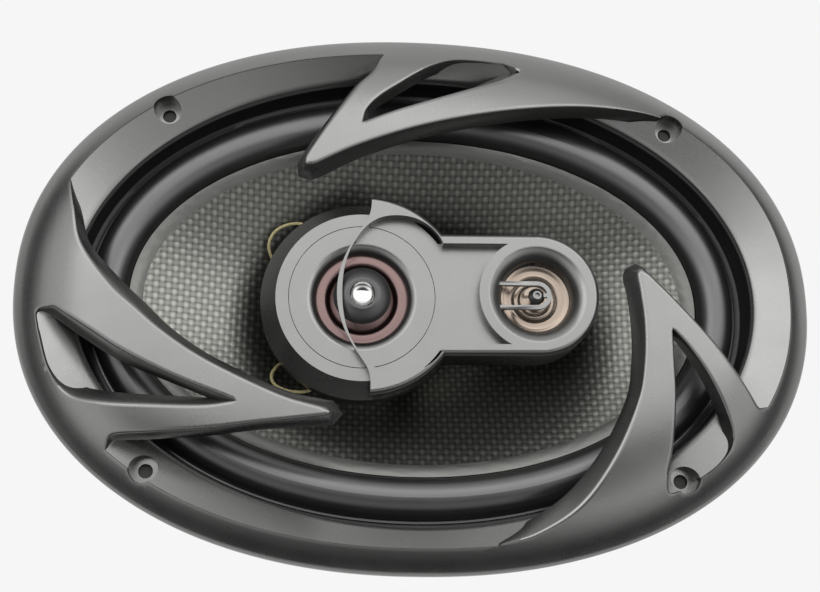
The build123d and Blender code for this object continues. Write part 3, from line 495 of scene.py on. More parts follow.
def dome_skin():
    """The domed top with its claws, as a closed slab with rounded edges."""
    claws = [np.vstack([smooth_edge(edge) for edge in outline]) for outline in claw_outlines]
    holes = [np.vstack([smooth_edge(edge) for edge in outline]) for outline in window_outlines]
    heads = []
    for x, y in SCREW_PLACES:
        turn = np.linspace(0, 2 * pi, 36, endpoint=False)
        heads.append(np.stack([x + SCREW_HEAD * np.cos(turn), y + SCREW_HEAD * np.sin(turn), 0 * turn], 1))
    rings = [rim_loop(d) for d in (0.0, RIDGE)]
    loops = claws + holes + heads + rings
    walls = np.vstack(loops)[:, :2]
    between = np.vstack([rim_loop(d)[:, :2] for d in (1.2, 2.5, 3.9, 5.2, 6.3)])
    gx, gy = np.meshgrid(np.arange(-115, 115, MESH_STEP), np.arange(-80, 80, MESH_STEP))
    grid = np.stack([gx.ravel() + 0.31 * (np.arange(gx.size) % 2), gy.ravel()], 1)
    grid = grid[dome_depth(grid[:, 0], grid[:, 1]) > RIDGE]
    grid = grid[np.any([within(grid[:, 0], grid[:, 1], claw) for claw in claws], axis=0)]
    places, lean, links, start = [], [], [], 0
    for loop in loops:
        places.append(loop[:, :2])
        lean.append(np.abs(loop[:, 2]))
        links += [(start + k, start + (k + 1) % len(loop)) for k in range(len(loop))]
        start += len(loop)
    rows = clear_of(np.vstack([beside(loop, EDGE_ROW) for loop in claws + holes]), walls, EDGE_GAP)
    rows = rows[dome_depth(rows[:, 0], rows[:, 1]) > RIDGE + 0.6]
    grid = clear_of(grid, np.vstack([walls, rows]), 0.95 * EDGE_GAP)
    free = np.vstack([clear_of(between, walls, 0.7 * EDGE_GAP), rows, grid])
    places = np.vstack(places + [free])
    lean = np.concatenate(lean + [np.zeros(len(free))])
    corners = [Vector(place) for place in places.tolist()]
    points, _, triangles, source, _, _ = delaunay_2d_cdt(corners, links, [], 0, MERGE_GAP)
    points = np.array([tuple(p) for p in points])
    lean = np.array([lean[sources[0]] if sources else 0.0 for sources in source])
    triangles = np.array([tuple(t) for t in triangles])
    middle = points[triangles].mean(1)
    mx, my = middle[:, 0], middle[:, 1]
    depth = dome_depth(mx, my)
    solid = (depth < RIDGE) & (depth > 0.001)
    for claw, hole in zip(claws, holes):
        solid |= within(mx, my, claw) & (depth > RIDGE - 0.01) & ~within(mx, my, hole)
    for head in heads:
        solid &= ~within(mx, my, head)
    triangles = triangles[solid]
    edges = border(triangles.tolist())
    rim = sorted({v for pair in edges for v in pair})
    away = np.zeros_like(points)
    for a, b in edges:
        run = points[b] - points[a]
        out = np.array([run[1], -run[0]]) / max(np.hypot(*run), 1e-9)
        away[a] += out
        away[b] += out
    size = np.hypot(away[:, 0], away[:, 1])
    away /= np.maximum(size, 1e-9)[:, None]
    depth = dome_depth(points[:, 0], points[:, 1])
    height = dome_height(depth)
    edge = np.zeros(len(points), bool)
    edge[rim] = True
    outside = edge & (depth < 0.3)
    ridge = edge & (np.abs(depth - RIDGE) < 0.02)
    near_head = edge & np.any([np.abs(np.hypot(points[:, 0] - x, points[:, 1] - y) - SCREW_HEAD) < 0.05
                               for x, y in SCREW_PLACES], axis=0)
    drop = np.select([outside, near_head, ridge], [RIM_SIDE, height - SCREW_FLOOR, RIDGE_LIP], CLAW_DEPTH)
    lean = np.where(outside | ridge | near_head, 0.0, lean)
    inward = points - away * EDGE_ROUND
    top = np.column_stack([np.where(edge[:, None], inward, points),
                           np.where(edge, dome_height(dome_depth(inward[:, 0], inward[:, 1])), height)])
    half = np.column_stack([points - away * 0.29 * EDGE_ROUND, height - 0.29 * EDGE_ROUND])
    side = np.column_stack([points + away * 0.12 * lean[:, None], height - EDGE_ROUND])
    foot = np.column_stack([points + away * lean[:, None], height - drop])
    under = np.where(edge[:, None], foot, np.column_stack([points, np.maximum(height - CLAW_DEPTH, 0.3)]))
    n = len(points)
    faces = [tuple(t) for t in triangles.tolist()]
    faces += [tuple(4 * n + v for v in t[::-1]) for t in triangles.tolist()]
    levels = (0, n, 2 * n, 4 * n)
    for high, low in zip(levels, levels[1:]):
        faces += [(high + b, high + a, low + a, low + b) for a, b in edges]
    mesh = bpy.data.meshes.new("dome_skin")
    mesh.from_pydata((np.vstack([top, half, side, foot, under]) * MM).tolist(), [], faces)

    def cleaned(work):
        loose = [v for v in work.verts if not v.link_faces]
        bmesh.ops.delete(work, geom=loose, context="VERTS")
        bmesh.ops.recalc_face_normals(work, faces=work.faces)

    return edited(mesh, cleaned)


def loops_mesh(name, loops, closed=True):
    """Quad mesh over a stack of loops with equal counts; closed joins the last loop to the first."""
    around, count = len(loops[0]), len(loops)
    points = np.concatenate(loops) * MM
    faces = []
    for k in range(count if closed else count - 1):
        here, there = k * around, (k + 1) % count * around
        for j in range(around):
            nxt = (j + 1) % around
            faces.append((here + j, here + nxt, there + nxt, there + j))
    mesh = bpy.data.meshes.new(name)
    mesh.from_pydata(points.tolist(), [], faces)
    outward(mesh)
    return mesh


def outward(mesh, smooth=40.0):
    edited(mesh, lambda work: bmesh.ops.recalc_face_normals(work, faces=work.faces))
    for face in mesh.polygons:
        face.use_smooth = True
    mesh.set_sharp_from_angle(angle=radians(smooth))


def capped(work):
    bmesh.ops.holes_fill(work, edges=[edge for edge in work.edges if edge.is_boundary])
    bmesh.ops.recalc_face_normals(work, faces=work.faces)


def band_ring():
    """The rim under the domed skin: its side, the band that slopes into the mouth, the mouth's wall."""
    mouth = (102.9, 69.9, 2.0, 4.35)
    crest = (112.6, 75.95, RIM_ROUNDNESS, 9.45)
    stations = [tuple(c + t * (m - c) for c, m in zip(crest, mouth)) for t in np.linspace(0, 0.96, 9)]
    lip = [(102.95, 69.95, 2.0, 4.22), (102.75, 69.75, 2.0, 3.9), (102.7, 69.7, 2.0, 1.8)]
    sections = [(119.6, 83.0, RIM_ROUNDNESS, 0.05), (119.6, 83.0, RIM_ROUNDNESS, 3.5)] + stations + lip
    sections += [(104.9, 71.9, 2.03, 1.8), (117.4, 80.8, RIM_ROUNDNESS, 2.2),
                 (117.4, 80.8, RIM_ROUNDNESS, 0.05)]
    ring = linked("band", loops_mesh("band", [oval_loop(*s, RIM_AROUND) for s in sections]))
    for x, y in SCREW_PLACES:
        for radius, low, high in ((SCREW_HEAD, SCREW_FLOOR, 20.0), (SCREW_HOLE, -1.0, 4.0)):
            turn = np.linspace(0, 2 * pi, 48, endpoint=False)
            loops = [np.stack([x + radius * np.cos(turn), y + radius * np.sin(turn), 0 * turn + z], 1)
                     for z in (low, high)]
            tool = edited(loops_mesh("drill", loops, closed=False), capped)
            cut = ring.modifiers.new("drill", "BOOLEAN")
            cut.operation, cut.object, cut.solver = "DIFFERENCE", linked("drill", tool), "EXACT"
    mesh = baked(ring)
    for tool in [o for o in bpy.data.objects if o.name.startswith("drill")]:
        bpy.data.objects.remove(tool)
    return mesh


gunmetal = coated("satin_gunmetal_abs", "#838382", 0.28, 0.03, grain=0.25, grain_size=0.35, metallic=0.95,
                  darker="#7c7c7b")
work = bmesh.new()
work.from_mesh(dome_skin())
work.from_mesh(band_ring())
grille_mesh = bpy.data.meshes.new("grille")
work.to_mesh(grille_mesh)
work.free()
for face in grille_mesh.polygons:
    face.use_smooth = True
grille_mesh.set_sharp_from_angle(angle=radians(48))
grille = shown("grille_piece", grille_mesh, gunmetal, "moulded_abs", "frame")
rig.replaces(grille, "grille")

# ---- mounting gasket ------------------------------------------------------------------------
# A flat ring of black foam behind the basket's flange, cut from sheet and stuck on.
foam = coated("gasket_foam", "#5a5a58", 0.95, 0.03, grain=0.9, grain_size=0.8)
from_cad("mounting_gasket", foam, "foam", edge=0.0)

# ---- basket ---------------------------------------------------------------------------------
# The pressed steel frame, with eight windows and a pad for the terminals, painted satin black.
basket_paint = coated("basket_paint_black", "#1b1b1c", 0.42, 0.06, grain=0.25, grain_size=0.6,
                      darker="#222222")
from_cad("basket", basket_paint, "painted_steel", edge=0.25)


# ---- cone body ------------------------------------------------------------------------------
# Moulded grey pulp with mica; its front edge stays bare as a band between weave and surround.
# It is glued to the surround's inner lip and to the voice coil former.
NECK_RADIUS, NECK_HEIGHT = 13.05, -38.0
EDGE_LENGTH, EDGE_WIDTH, EDGE_HEIGHT = 84.0, 50.0, -9.0
BAND_LENGTH, BAND_WIDTH, BAND_HEIGHT = 88.0, 53.9, -7.1
WEAVE_THICKNESS, PAPER_THICKNESS, CONE_BOW = 0.35, 0.6, 0.85


def cone_place(share):
    """Oval of the cone's front: half length, half width, power and height."""
    return (NECK_RADIUS + share * (EDGE_LENGTH - NECK_RADIUS),
            NECK_RADIUS + share * (EDGE_WIDTH - NECK_RADIUS), 2.0 + 0.04 * share,
            NECK_HEIGHT + (EDGE_HEIGHT - NECK_HEIGHT) * share ** CONE_BOW)


def dropped(place, drop):
    return place[:3] + (place[3] - drop,)


AROUND = 360
shares = np.linspace(0, 1, 15)
band_share = np.linspace(0, 1, 9)
front = [dropped(cone_place(s), WEAVE_THICKNESS) for s in shares]
edge = cone_place(1.0)
band = [(edge[0] + t * (BAND_LENGTH - edge[0]), edge[1] + t * (BAND_WIDTH - edge[1]), 2.035,
         edge[3] + t * (BAND_HEIGHT - edge[3]) + 0.25 * sin(pi * t)) for t in band_share]
back_edge = [dropped(band[-1], 0.25), dropped(band[-1], PAPER_THICKNESS)]
back_side = [dropped(cone_place(s), WEAVE_THICKNESS + PAPER_THICKNESS) for s in shares[::-1]]
loops = [oval_loop(*place, AROUND) for place in front + band + back_edge + back_side]
for loop in loops[len(front) + 1:len(front) + len(band) - 1]:
    loop[:, 2] += [0.09 * noise.noise(Vector(p) * 0.55) + 0.05 * noise.noise(Vector(p) * 1.6)
                   for p in loop]
pulp = coated("cone_pulp_grey", "#646462", 0.36, 0.06, grain=0.6, grain_size=0.7, metallic=0.8,
              darker="#70706d")
cone = shown("cone_piece", loops_mesh("cone", loops), pulp, "cone_paper", "cone_assembly")
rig.replaces(cone, "cone")

# ---- woven skin -----------------------------------------------------------------------------
# A plain weave of aluminised glass tape, 1.85 mm pitch, laminated to the cone's front in one sheet.
# Its two halves meet along the long axis.
PITCH = 1.85
CELL = PITCH / 4
CROWN = 0.13


def cone_share(x, y):
    low, high = np.zeros_like(x), np.ones_like(x)
    for step in range(26):
        share = (low + high) / 2
        half_length = NECK_RADIUS + share * (EDGE_LENGTH - NECK_RADIUS)
        half_width = NECK_RADIUS + share * (EDGE_WIDTH - NECK_RADIUS)
        power = 2.0 + 0.04 * share
        out = np.abs(x / half_length) ** power + np.abs(y / half_width) ** power > 1
        low, high = np.where(out, share, low), np.where(out, high, share)
    return (low + high) / 2


def crown_height(x, y):
    """Over and under of the two sets of tapes, from -1 in the gaps to 1 on the crowns."""
    i, j = np.floor(x / PITCH), np.floor(y / PITCH)
    u, v = (x / PITCH - i) * 2 - 1, (y / PITCH - j) * 2 - 1
    long_tape = np.cos(pi * (x / PITCH - 0.5) + pi * j) - 0.9 * np.abs(v) ** 3
    short_tape = -np.cos(pi * (y / PITCH - 0.5) + pi * i) - 0.9 * np.abs(u) ** 3
    return np.maximum(long_tape, 0.55 * short_tape - 0.15)


def weave_half(side):
    columns = np.arange(-int(EDGE_LENGTH / CELL) - 2, int(EDGE_LENGTH / CELL) + 3)
    rows = np.arange(0, int(EDGE_WIDTH / CELL) + 3) * side
    x, y = np.meshgrid(columns * CELL, rows * CELL, indexing="ij")
    inside = lambda a, b, n, grow: np.abs(x / (a + grow)) ** n + np.abs(y / (b + grow)) ** n < 1
    keep = inside(EDGE_LENGTH, EDGE_WIDTH, 2.04, 0.0) & ~inside(NECK_RADIUS, NECK_RADIUS, 2.0, 0.0)
    cells = keep[:-1, :-1] & keep[1:, :-1] & keep[:-1, 1:] & keep[1:, 1:]
    used = np.zeros(x.shape, bool)
    for a, b in ((0, 0), (1, 0), (0, 1), (1, 1)):
        used[a:a + cells.shape[0], b:b + cells.shape[1]] |= cells
    whole = np.zeros(x.shape, bool)
    whole[1:-1, 1:-1] = cells[:-1, :-1] & cells[1:, :-1] & cells[:-1, 1:] & cells[1:, 1:]
    rim = used & ~whole
    rim[:, 0] = used[:, 0] & ~np.concatenate([[False], cells[:-1, 0] & cells[1:, 0], [False]])
    outer = rim & (np.hypot(x / EDGE_LENGTH, y / EDGE_WIDTH) > 0.6)
    outer &= inside(EDGE_LENGTH, EDGE_WIDTH, 2.04, 30.0)
    inner = rim & ~outer
    far = (np.abs(x / EDGE_LENGTH) ** 2.04 + np.abs(y / EDGE_WIDTH) ** 2.04) ** (1 / 2.04)
    near = np.hypot(x, y) / NECK_RADIUS
    scale = np.where(outer, 1 / np.maximum(far, 1e-6), np.where(inner, 1 / np.maximum(near, 1e-6), 1.0))
    px, py = x * scale, y * scale
    share = cone_share(px, py)
    base = NECK_HEIGHT + (EDGE_HEIGHT - NECK_HEIGHT) * share ** CONE_BOW
    lift = crown_height(px + 0.25 * CELL, py + 0.25 * CELL)
    top = base + CROWN * (lift - 1) * np.where(rim, 0.3, 1.0) * 0.5 + CROWN * 0.5
    number = -np.ones(x.shape, int)
    number[used] = np.arange(used.sum())
    count = used.sum()
    upper = np.stack([px[used], py[used], top[used]], 1)
    under = np.stack([px[used], py[used], base[used] - WEAVE_THICKNESS], 1)
    i, j = np.nonzero(cells)
    quads = np.stack([number[i, j], number[i + 1, j], number[i + 1, j + 1], number[i, j + 1]], 1)
    faces = [tuple(q) for q in quads.tolist()]
    faces += [tuple(count + v for v in reversed(q)) for q in quads.tolist()]
    faces += [(b, a, count + a, count + b) for a, b in border(quads.tolist())]
    mesh = bpy.data.meshes.new("weave")
    mesh.from_pydata((np.concatenate([upper, under]) * MM).tolist(), [], faces)
    # The crown height is kept per point to drive the skin's painted shade.
    height = mesh.attributes.new("crown", "FLOAT", "POINT")
    height.data.foreach_set("value", np.concatenate([lift[used], lift[used]]).astype(np.float32))
    outward(mesh, 60.0)
    return mesh


skin, tree = blank_material("woven_aluminised_tape")
place = add(tree, "ShaderNodeTexCoord")
crown = add(tree, "ShaderNodeAttribute", attribute_name="crown")
painted_gap_shade = add(tree, "ShaderNodeMapRange", {"Value": crown.outputs["Fac"]}, From_Min=-0.7, From_Max=0.9)
# Painted shade: the tape's colour runs from near black in the gaps between tapes to light grey on the crowns, standing
# in for the shade in the weave's hollows and the light on its crowns.
mix = add(tree, "ShaderNodeMix", {"Factor": painted_gap_shade.outputs[0]}, data_type="RGBA")
mix.inputs[6].default_value = linear("#1b1b1b")
mix.inputs[7].default_value = linear("#82827d")
surface = add(tree, "ShaderNodeBsdfPrincipled", {"Base Color": mix.outputs[2]}, Roughness=0.3,
              Metallic=0.95, IOR=1.5)
fine = add(tree, "ShaderNodeTexNoise", {"Vector": place.outputs["Object"]}, Scale=2600.0, Detail=2.0)
bump = add(tree, "ShaderNodeBump", {"Height": fine.outputs["Fac"]}, Strength=0.3, Distance=0.03 * MM)
tree.links.new(bump.outputs[0], surface.inputs["Normal"])
add(tree, "ShaderNodeOutputMaterial", {"Surface": surface.outputs[0]})
for side, word in ((1, "back"), (-1, "front")):
    half = shown(f"cone_weave_{word}", weave_half(side), skin, "woven_skin", "cone_assembly")
    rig.replaces(half, "cone_weave")

# ---- surround -------------------------------------------------------------------------------
# One half roll of butyl rubber, moulded, glued to the basket's ledge and to the cone's edge.
# Its outer half stays with the basket; its inner half bends with the cone.
ROLL_OUTER, ROLL_INNER = (100.0, 66.9), (88.3, 54.2)
ROLL_HEIGHT, ROLL_BASE, RUBBER = 5.8, -7.4, 0.7
LEDGE = -8.3


def roll_place(turn, thin, offset=0.0):
    """Oval on the roll: turn is 180 at its outer foot and 0 at its inner one."""
    share = (1 + cos(radians(turn))) / 2
    spread = 1 - thin / ((ROLL_OUTER[0] - ROLL_INNER[0]) / 2)
    share = 0.5 + (share - 0.5) * spread
    half = [outer + share * (inner - outer) for outer, inner in zip(ROLL_OUTER, ROLL_INNER)]
    height = ROLL_BASE + (ROLL_HEIGHT - thin) * sin(radians(turn)) + offset
    return half[0], half[1], 2.08 - 0.05 * share, height


def roll_part(name, first, last, before, after):
    turns = np.linspace(first, last, 13)
    top = [roll_place(t, 0.0) for t in turns]
    low = [roll_place(t, RUBBER, -0.2) for t in turns[::-1]]
    return loops_mesh(name, [oval_loop(*p, AROUND) for p in before + top + after + low])


def lip(half_length, half_width, height):
    return half_length, half_width, 2.06, height


rubber = coated("butyl_rubber_black", "#131313", 0.36, 0.05, grain=0.2, grain_size=0.5,
                darker="#191919", coat=1.0, shine=1.0)
outer_mesh = roll_part(
    "surround_outer", 180, 90,
    [lip(98.5, 65.3, LEDGE), lip(100.9, 67.9, LEDGE), lip(100.9, 67.9, LEDGE + 0.5),
     lip(100.7, 67.7, LEDGE + 0.7), lip(100.15, 67.05, LEDGE + 0.7)], [])
outer = shown("surround_outer", outer_mesh, rubber, "surround_rubber", "frame")
inner_mesh = roll_part(
    "surround_inner", 90, 0, [],
    [lip(87.9, 53.9, -8.1), lip(84.6, 50.6, -9.75), lip(84.6, 50.6, -10.4), lip(87.9, 53.9, -8.8)])
inner = shown("surround_inner", inner_mesh, rubber, "surround_rubber", None)
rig.blend(inner, "frame", "cone_assembly", (0, 0, (ROLL_BASE + ROLL_HEIGHT - RUBBER) * MM),
         (0, 0, ROLL_BASE * MM))
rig.replaces(inner, "surround")
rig.replaces(outer, "surround")

# ---- spider ---------------------------------------------------------------------------------
# Corrugated cotton cloth, resin dipped and hot pressed; glued to the basket's shelf and to the former.
# Twelve sectors let each bend along its own radius as the cone moves.
SPIDER_IN, SPIDER_OUT, SPIDER_LEVEL, SPIDER_LIP = 13.05, 50.6, -43.4, 4.8
SPIDER_ROLLS, SPIDER_WAVE, SPIDER_CLOTH = 5, 1.6, 0.5
SECTORS = 12
span = (SPIDER_OUT - SPIDER_LIP - SPIDER_IN - 2.0) / SPIDER_ROLLS
radii = np.concatenate([[SPIDER_IN], np.linspace(SPIDER_IN + 2.0, SPIDER_OUT - SPIDER_LIP, 61), [SPIDER_OUT]])
wave = SPIDER_WAVE * np.sin(2 * pi * (radii - SPIDER_IN - 2.0) / span)
wave[[0, -1]] = 0.0
cloth = coated("spider_cloth_tan", "#b98f55", 0.85, 0.05, grain=0.9, grain_size=0.6, darker="#a67c45")
for k in range(SECTORS):
    turns = np.linspace(2 * pi * k / SECTORS, 2 * pi * (k + 1) / SECTORS, 13)
    rows = []
    for r, z in list(zip(radii, wave + SPIDER_CLOTH)) + list(zip(radii[::-1], wave[::-1])):
        rows.append([(r * cos(t), r * sin(t), SPIDER_LEVEL + z) for t in turns])
    count, steps = len(rows), len(turns)
    faces = [(here + j, here + j + 1, there + j + 1, there + j)
             for here, there in ((a * steps, (a + 1) % count * steps) for a in range(count))
             for j in range(steps - 1)]
    half = count // 2
    for j in (0, steps - 1):
        faces += [tuple(row * steps + j for row in (a, a + 1, count - 2 - a, count - 1 - a))
                  for a in range(half - 1)]
    mesh = bpy.data.meshes.new("spider_sector")
    mesh.from_pydata((np.array(rows).reshape(-1, 3) * MM).tolist(), [], faces)
    outward(mesh)
    sector = shown(f"spider_sector_{k + 1:02d}", mesh, cloth, "spider_cloth", None)
    middle = 2 * pi * (k + 0.5) / SECTORS
    reach = lambda r: (r * cos(middle) * MM, r * sin(middle) * MM, SPIDER_LEVEL * MM)
    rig.blend(sector, "frame", "cone_assembly", reach(SPIDER_OUT - SPIDER_LIP), reach(SPIDER_IN + 2.0))
    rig.replaces(sector, "spider")

# ---- voice coil -----------------------------------------------------------------------------
# Enamelled copper wire wound on a rolled aluminium former, which is glued into the cone's neck.
aluminium = coated("former_aluminium", "#c9c9c6", 0.32, 0.04, ior=1.44, metallic=1.0)
from_cad("voice_coil_former", aluminium, "former_aluminium", "cone_assembly", edge=0.0)
copper = coated("enamelled_copper", "#a4562c", 0.3, 0.04, metallic=1.0, ior=1.1)


def turned(name, profile, around=96, centre=(0.0, 0.0)):
    """Solid of revolution from closed (radius, height) points; points on the axis become poles."""
    loops = [oval_loop(max(r, 1e-4), max(r, 1e-4), 2.0, z, around) + [centre[0], centre[1], 0.0]
             for r, z in profile]

    def with_poles(work):
        bmesh.ops.remove_doubles(work, verts=work.verts, dist=0.0005 * MM)
        bare = [edge for edge in work.edges if not edge.link_faces]
        bmesh.ops.delete(work, geom=bare, context="EDGES")

    return edited(loops_mesh(name, loops), with_poles)


def new_tree(name, **inputs):
    """Geometry node tree with one geometry socket each way and named inputs of the given kinds."""
    tree = bpy.data.node_groups.new(name, "GeometryNodeTree")
    tree.interface.new_socket("Geometry", in_out="INPUT", socket_type="NodeSocketGeometry")
    tree.interface.new_socket("Geometry", in_out="OUTPUT", socket_type="NodeSocketGeometry")
    for label, kind in inputs.items():
        tree.interface.new_socket(label, in_out="INPUT", socket_type="NodeSocket" + kind)
    return tree, add(tree, "NodeGroupInput").outputs


def grown(holder, tree, **values):
    """Plain mesh of an object put through a node tree with these input values."""
    step = holder.modifiers.new(tree.name, "NODES")
    step.node_group = tree
    for socket in tree.interface.items_tree:
        if socket.name in values:
            step[socket.identifier] = values[socket.name]
    return baked(holder)


def copies(layout):
    """Tree that repeats its geometry round a ring or along a line."""
    tree, given = new_tree("copies_" + layout, Count="Int", Radius="Float", Step="Vector", Centre="Vector",
                           Finish="Material")
    if layout == "ring":
        points = add(tree, "GeometryNodeMeshCircle", {"Vertices": given["Count"], "Radius": given["Radius"]})
    else:
        points = add(tree, "GeometryNodeMeshLine", {"Count": given["Count"], "Offset": given["Step"]})
    placed = add(tree, "GeometryNodeTransform", {"Geometry": points.outputs[0],
                                                 "Translation": given["Centre"]})
    repeat = add(tree, "GeometryNodeInstanceOnPoints", {"Points": placed.outputs[0],
                                                        "Instance": given["Geometry"]})
    real = add(tree, "GeometryNodeRealizeInstances", {"Geometry": repeat.outputs[0]})
    done = add(tree, "GeometryNodeSetMaterial", {"Geometry": real.outputs[0], "Material": given["Finish"]})
    add(tree, "NodeGroupOutput", {"Geometry": done.outputs[0]})
    return tree


WIRE_TURNS, COIL_LOW, COIL_HIGH, COIL_IN, COIL_OUT = 24, -61.5, -52.5, 13.08, 13.9
wire_pitch = (COIL_HIGH - COIL_LOW) / WIRE_TURNS
wire = [(COIL_IN, COIL_LOW), (COIL_IN, COIL_LOW + wire_pitch)]
for step in range(5):
    angle = pi * step / 4
    wire.append((COIL_OUT - wire_pitch * (1 - sin(angle)) / 2, COIL_LOW + wire_pitch * (1 + cos(angle)) / 2))
line_copies = copies("line")
windings = grown(linked("wire_turn", turned("wire_turn", wire)), line_copies,
                 Count=WIRE_TURNS, Step=(0.0, 0.0, wire_pitch * MM), Finish=copper)
winding = shown("voice_coil_winding_piece", windings, copper, "copper_wire", "cone_assembly")
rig.replaces(winding, "voice_coil_winding")

# ---- motor ----------------------------------------------------------------------------------
# A ferrite ring between two plated steel plates; the rear one carries the pole. All are glued, and the
# basket is riveted to the front plate.
plated = coated("zinc_plated_steel", "#9d9f9c", 0.3, 0.07, grain=0.12, grain_size=1.0, metallic=1.0,
                darker="#83857f")
ferrite = coated("ferrite_ground", "#2c2c2d", 0.55, 0.08, grain=0.4, grain_size=0.5, darker="#3a3a3a")
from_cad("top_plate", plated, "plated_steel", edge=0.4)
from_cad("magnet_ring", ferrite, "ferrite", edge=0.5)
from_cad("yoke", plated, "plated_steel", edge=0.4)


def rivet(name, shank, head, length, head_height):
    """Round-headed rivet that stands on its foot at the origin."""
    floor = length - head_height
    return turned(name, [(0.0, 0.0), (shank - 0.3, 0.0), (shank, 0.3), (shank, floor), (head, floor),
                         (head, floor + 0.3 * head_height), (0.88 * head, floor + 0.72 * head_height),
                         (0.6 * head, floor + 0.95 * head_height), (0.0, length)], around=32)


low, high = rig.box("basket_rivets")
RIVET_SHANK, RIVET_HEAD, RIVET_COUNT = 2.4, 4.32, 6
one_rivet = rivet("rivet", RIVET_SHANK, RIVET_HEAD, (high[2] - low[2]) / MM, 1.4)
rivets = grown(linked("rivet", one_rivet), copies("ring"), Count=RIVET_COUNT,
               Radius=high[0] - RIVET_HEAD * MM, Centre=(0.0, 0.0, low[2]), Finish=plated)
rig.replaces(shown("basket_rivets_piece", rivets, plated, "plated_steel", "frame"), "basket_rivets")

# ---- pod ------------------------------------------------------------------------------------
# The tweeters' housing: ABS moulding with a black conical skirt and a satin grey plate. A bolt through
# the pole piece and the post holds it; the raised trim with its rib is glued on top.
pod_black = coated("pod_black_satin", "#242425", 0.45, 0.05, grain=0.2, grain_size=0.4)
from_cad("pod_housing", gunmetal, "moulded_abs", edge=0.25)
from_cad("pod_trim", gunmetal, "moulded_abs", edge=0.3)
from_cad("pod_post", pod_black, "moulded_abs", edge=0.2)
from_cad("pod_bolt", plated, "plated_steel", edge=0.2)

# ---- tweeter --------------------------------------------------------------------------------
# Faceplate with a flared mouth, rose metallised film with its coil, and the motor behind them; the
# phase plug stands on the pole and has a mirrored dish in its crown.
from_cad("tweeter_faceplate", gunmetal, "moulded_abs", edge=0.12)
rose = coated("rose_metallised_film", "#776462", 0.28, 0.03, metallic=1.0, darker="#6e5c5a")
film_level = -4.2
film = [(2.2, film_level + 2.4), (4.2, film_level + 2.2), (6.0, film_level + 1.8), (7.8, film_level + 1.15),
        (9.2, film_level + 0.25), (9.6, film_level), (9.9, film_level + 0.25), (10.2, film_level + 0.7),
        (11.0, film_level + 1.25), (12.0, film_level + 1.4), (13.05, film_level + 1.2),
        (13.75, film_level + 1.2)]
film += [(r, z - 0.25) for r, z in reversed(film)]


def plan_centre(node):
    low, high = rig.box(node)
    return [(low[k] + high[k]) / 2 / MM for k in range(2)]


tweeter_centre = plan_centre("tweeter_diaphragm")
rose_film = shown("tweeter_diaphragm_piece", turned("rose", film, 128, tweeter_centre), rose, "rose_film",
                  "tweeter_moving")
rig.replaces(rose_film, "tweeter_diaphragm")
from_cad("tweeter_coil", copper, "copper_wire", "tweeter_moving", edge=0.0)
for word in ("cup", "magnet", "pole"):
    from_cad("tweeter_" + word, plated, "plated_steel", edge=0.2)
from_cad("tweeter_retainer", pod_black, "moulded_abs", edge=0.15)
plug_black = coated("plug_satin", "#505051", 0.33, 0.03, grain=0.1, grain_size=0.3, metallic=0.8)
chrome = coated("mirror_chrome", "#d8d8d6", 0.06, 0.01, ior=2.5, metallic=1.0)
from_cad("tweeter_phase_plug", plug_black, "moulded_abs", edge=0.0, smooth=50.0)
from_cad("phase_plug_mirror", chrome, "mirror_chrome", edge=0.0, smooth=60.0)

# ---- supertweeter ---------------------------------------------------------------------------
# Silver metallised film with pressed rings over its motor, held by a retainer; a dark bridge carries
# the small bullet in the middle of its mouth.
silver = coated("silver_metallised_film", "#8f857b", 0.24, 0.03, metallic=1.0, darker="#85776b")
dish_floor = -3.8
dish = [(0.02, dish_floor + 0.9), (1.6, dish_floor + 0.75), (3.2, dish_floor + 0.3), (4.2, dish_floor),
        (4.7, dish_floor + 0.15), (5.2, dish_floor + 0.5), (5.7, dish_floor + 0.5), (6.2, dish_floor + 0.3),
        (6.8, dish_floor + 0.5), (7.4, dish_floor + 0.9), (7.9, dish_floor + 0.95), (8.4, dish_floor + 0.8),
        (9.6, dish_floor + 1.1), (11.0, dish_floor + 1.6), (12.6, dish_floor + 1.6)]
dish += [(r, z - 0.25) for r, z in reversed(dish)]
super_centre = plan_centre("supertweeter_diaphragm")
silver_film = shown("supertweeter_diaphragm_piece", turned("silver", dish, 128, super_centre), silver,
                    "silver_film", "supertweeter_moving")
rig.replaces(silver_film, "supertweeter_diaphragm")
from_cad("supertweeter_motor", plated, "plated_steel", edge=0.2)
from_cad("supertweeter_retainer", pod_black, "moulded_abs", edge=0.15)
from_cad("supertweeter_bridge", gunmetal, "moulded_abs", edge=0.3)
from_cad("supertweeter_bullet", gunmetal, "moulded_abs", edge=0.2)
from_cad("tweeter_capacitor", coated("capacitor_sleeve", "#1f3f7a", 0.35), "capacitor_sleeve", edge=0.6,
         steps=3)

# ---- terminals ------------------------------------------------------------------------------
# A phenolic board riveted to the basket's pad, with one wide and one narrow brass blade.
board = coated("phenolic_board", "#5a3a22", 0.5, 0.05, grain=0.2, grain_size=0.5, darker="#6a4528")
brass = coated("tinned_brass", "#c2b183", 0.3, 0.05, metallic=1.0)
from_cad("terminal_board", board, "phenolic_board", edge=0.15)
low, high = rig.box("terminal_rivets")
SIDE_RIVET_SHANK, SIDE_RIVET_HEAD = 1.5, 2.7
side_rivet = rivet("side_rivet", SIDE_RIVET_SHANK, SIDE_RIVET_HEAD, (high[1] - low[1]) / MM, 0.9)
side_rivet.transform(Matrix.Rotation(radians(90), 4, "X"))
reach = high[0] - SIDE_RIVET_HEAD * MM
rivets = grown(linked("side_rivet", side_rivet), line_copies, Count=2, Step=(2 * reach, 0.0, 0.0),
               Centre=(-reach, high[1], (low[2] + high[2]) / 2), Finish=brass)
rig.replaces(shown("terminal_rivets_piece", rivets, brass, "brass_plate", "frame"), "terminal_rivets")
for word in ("positive", "negative"):
    from_cad("terminal_tab_" + word, brass, "brass_plate", edge=0.08)

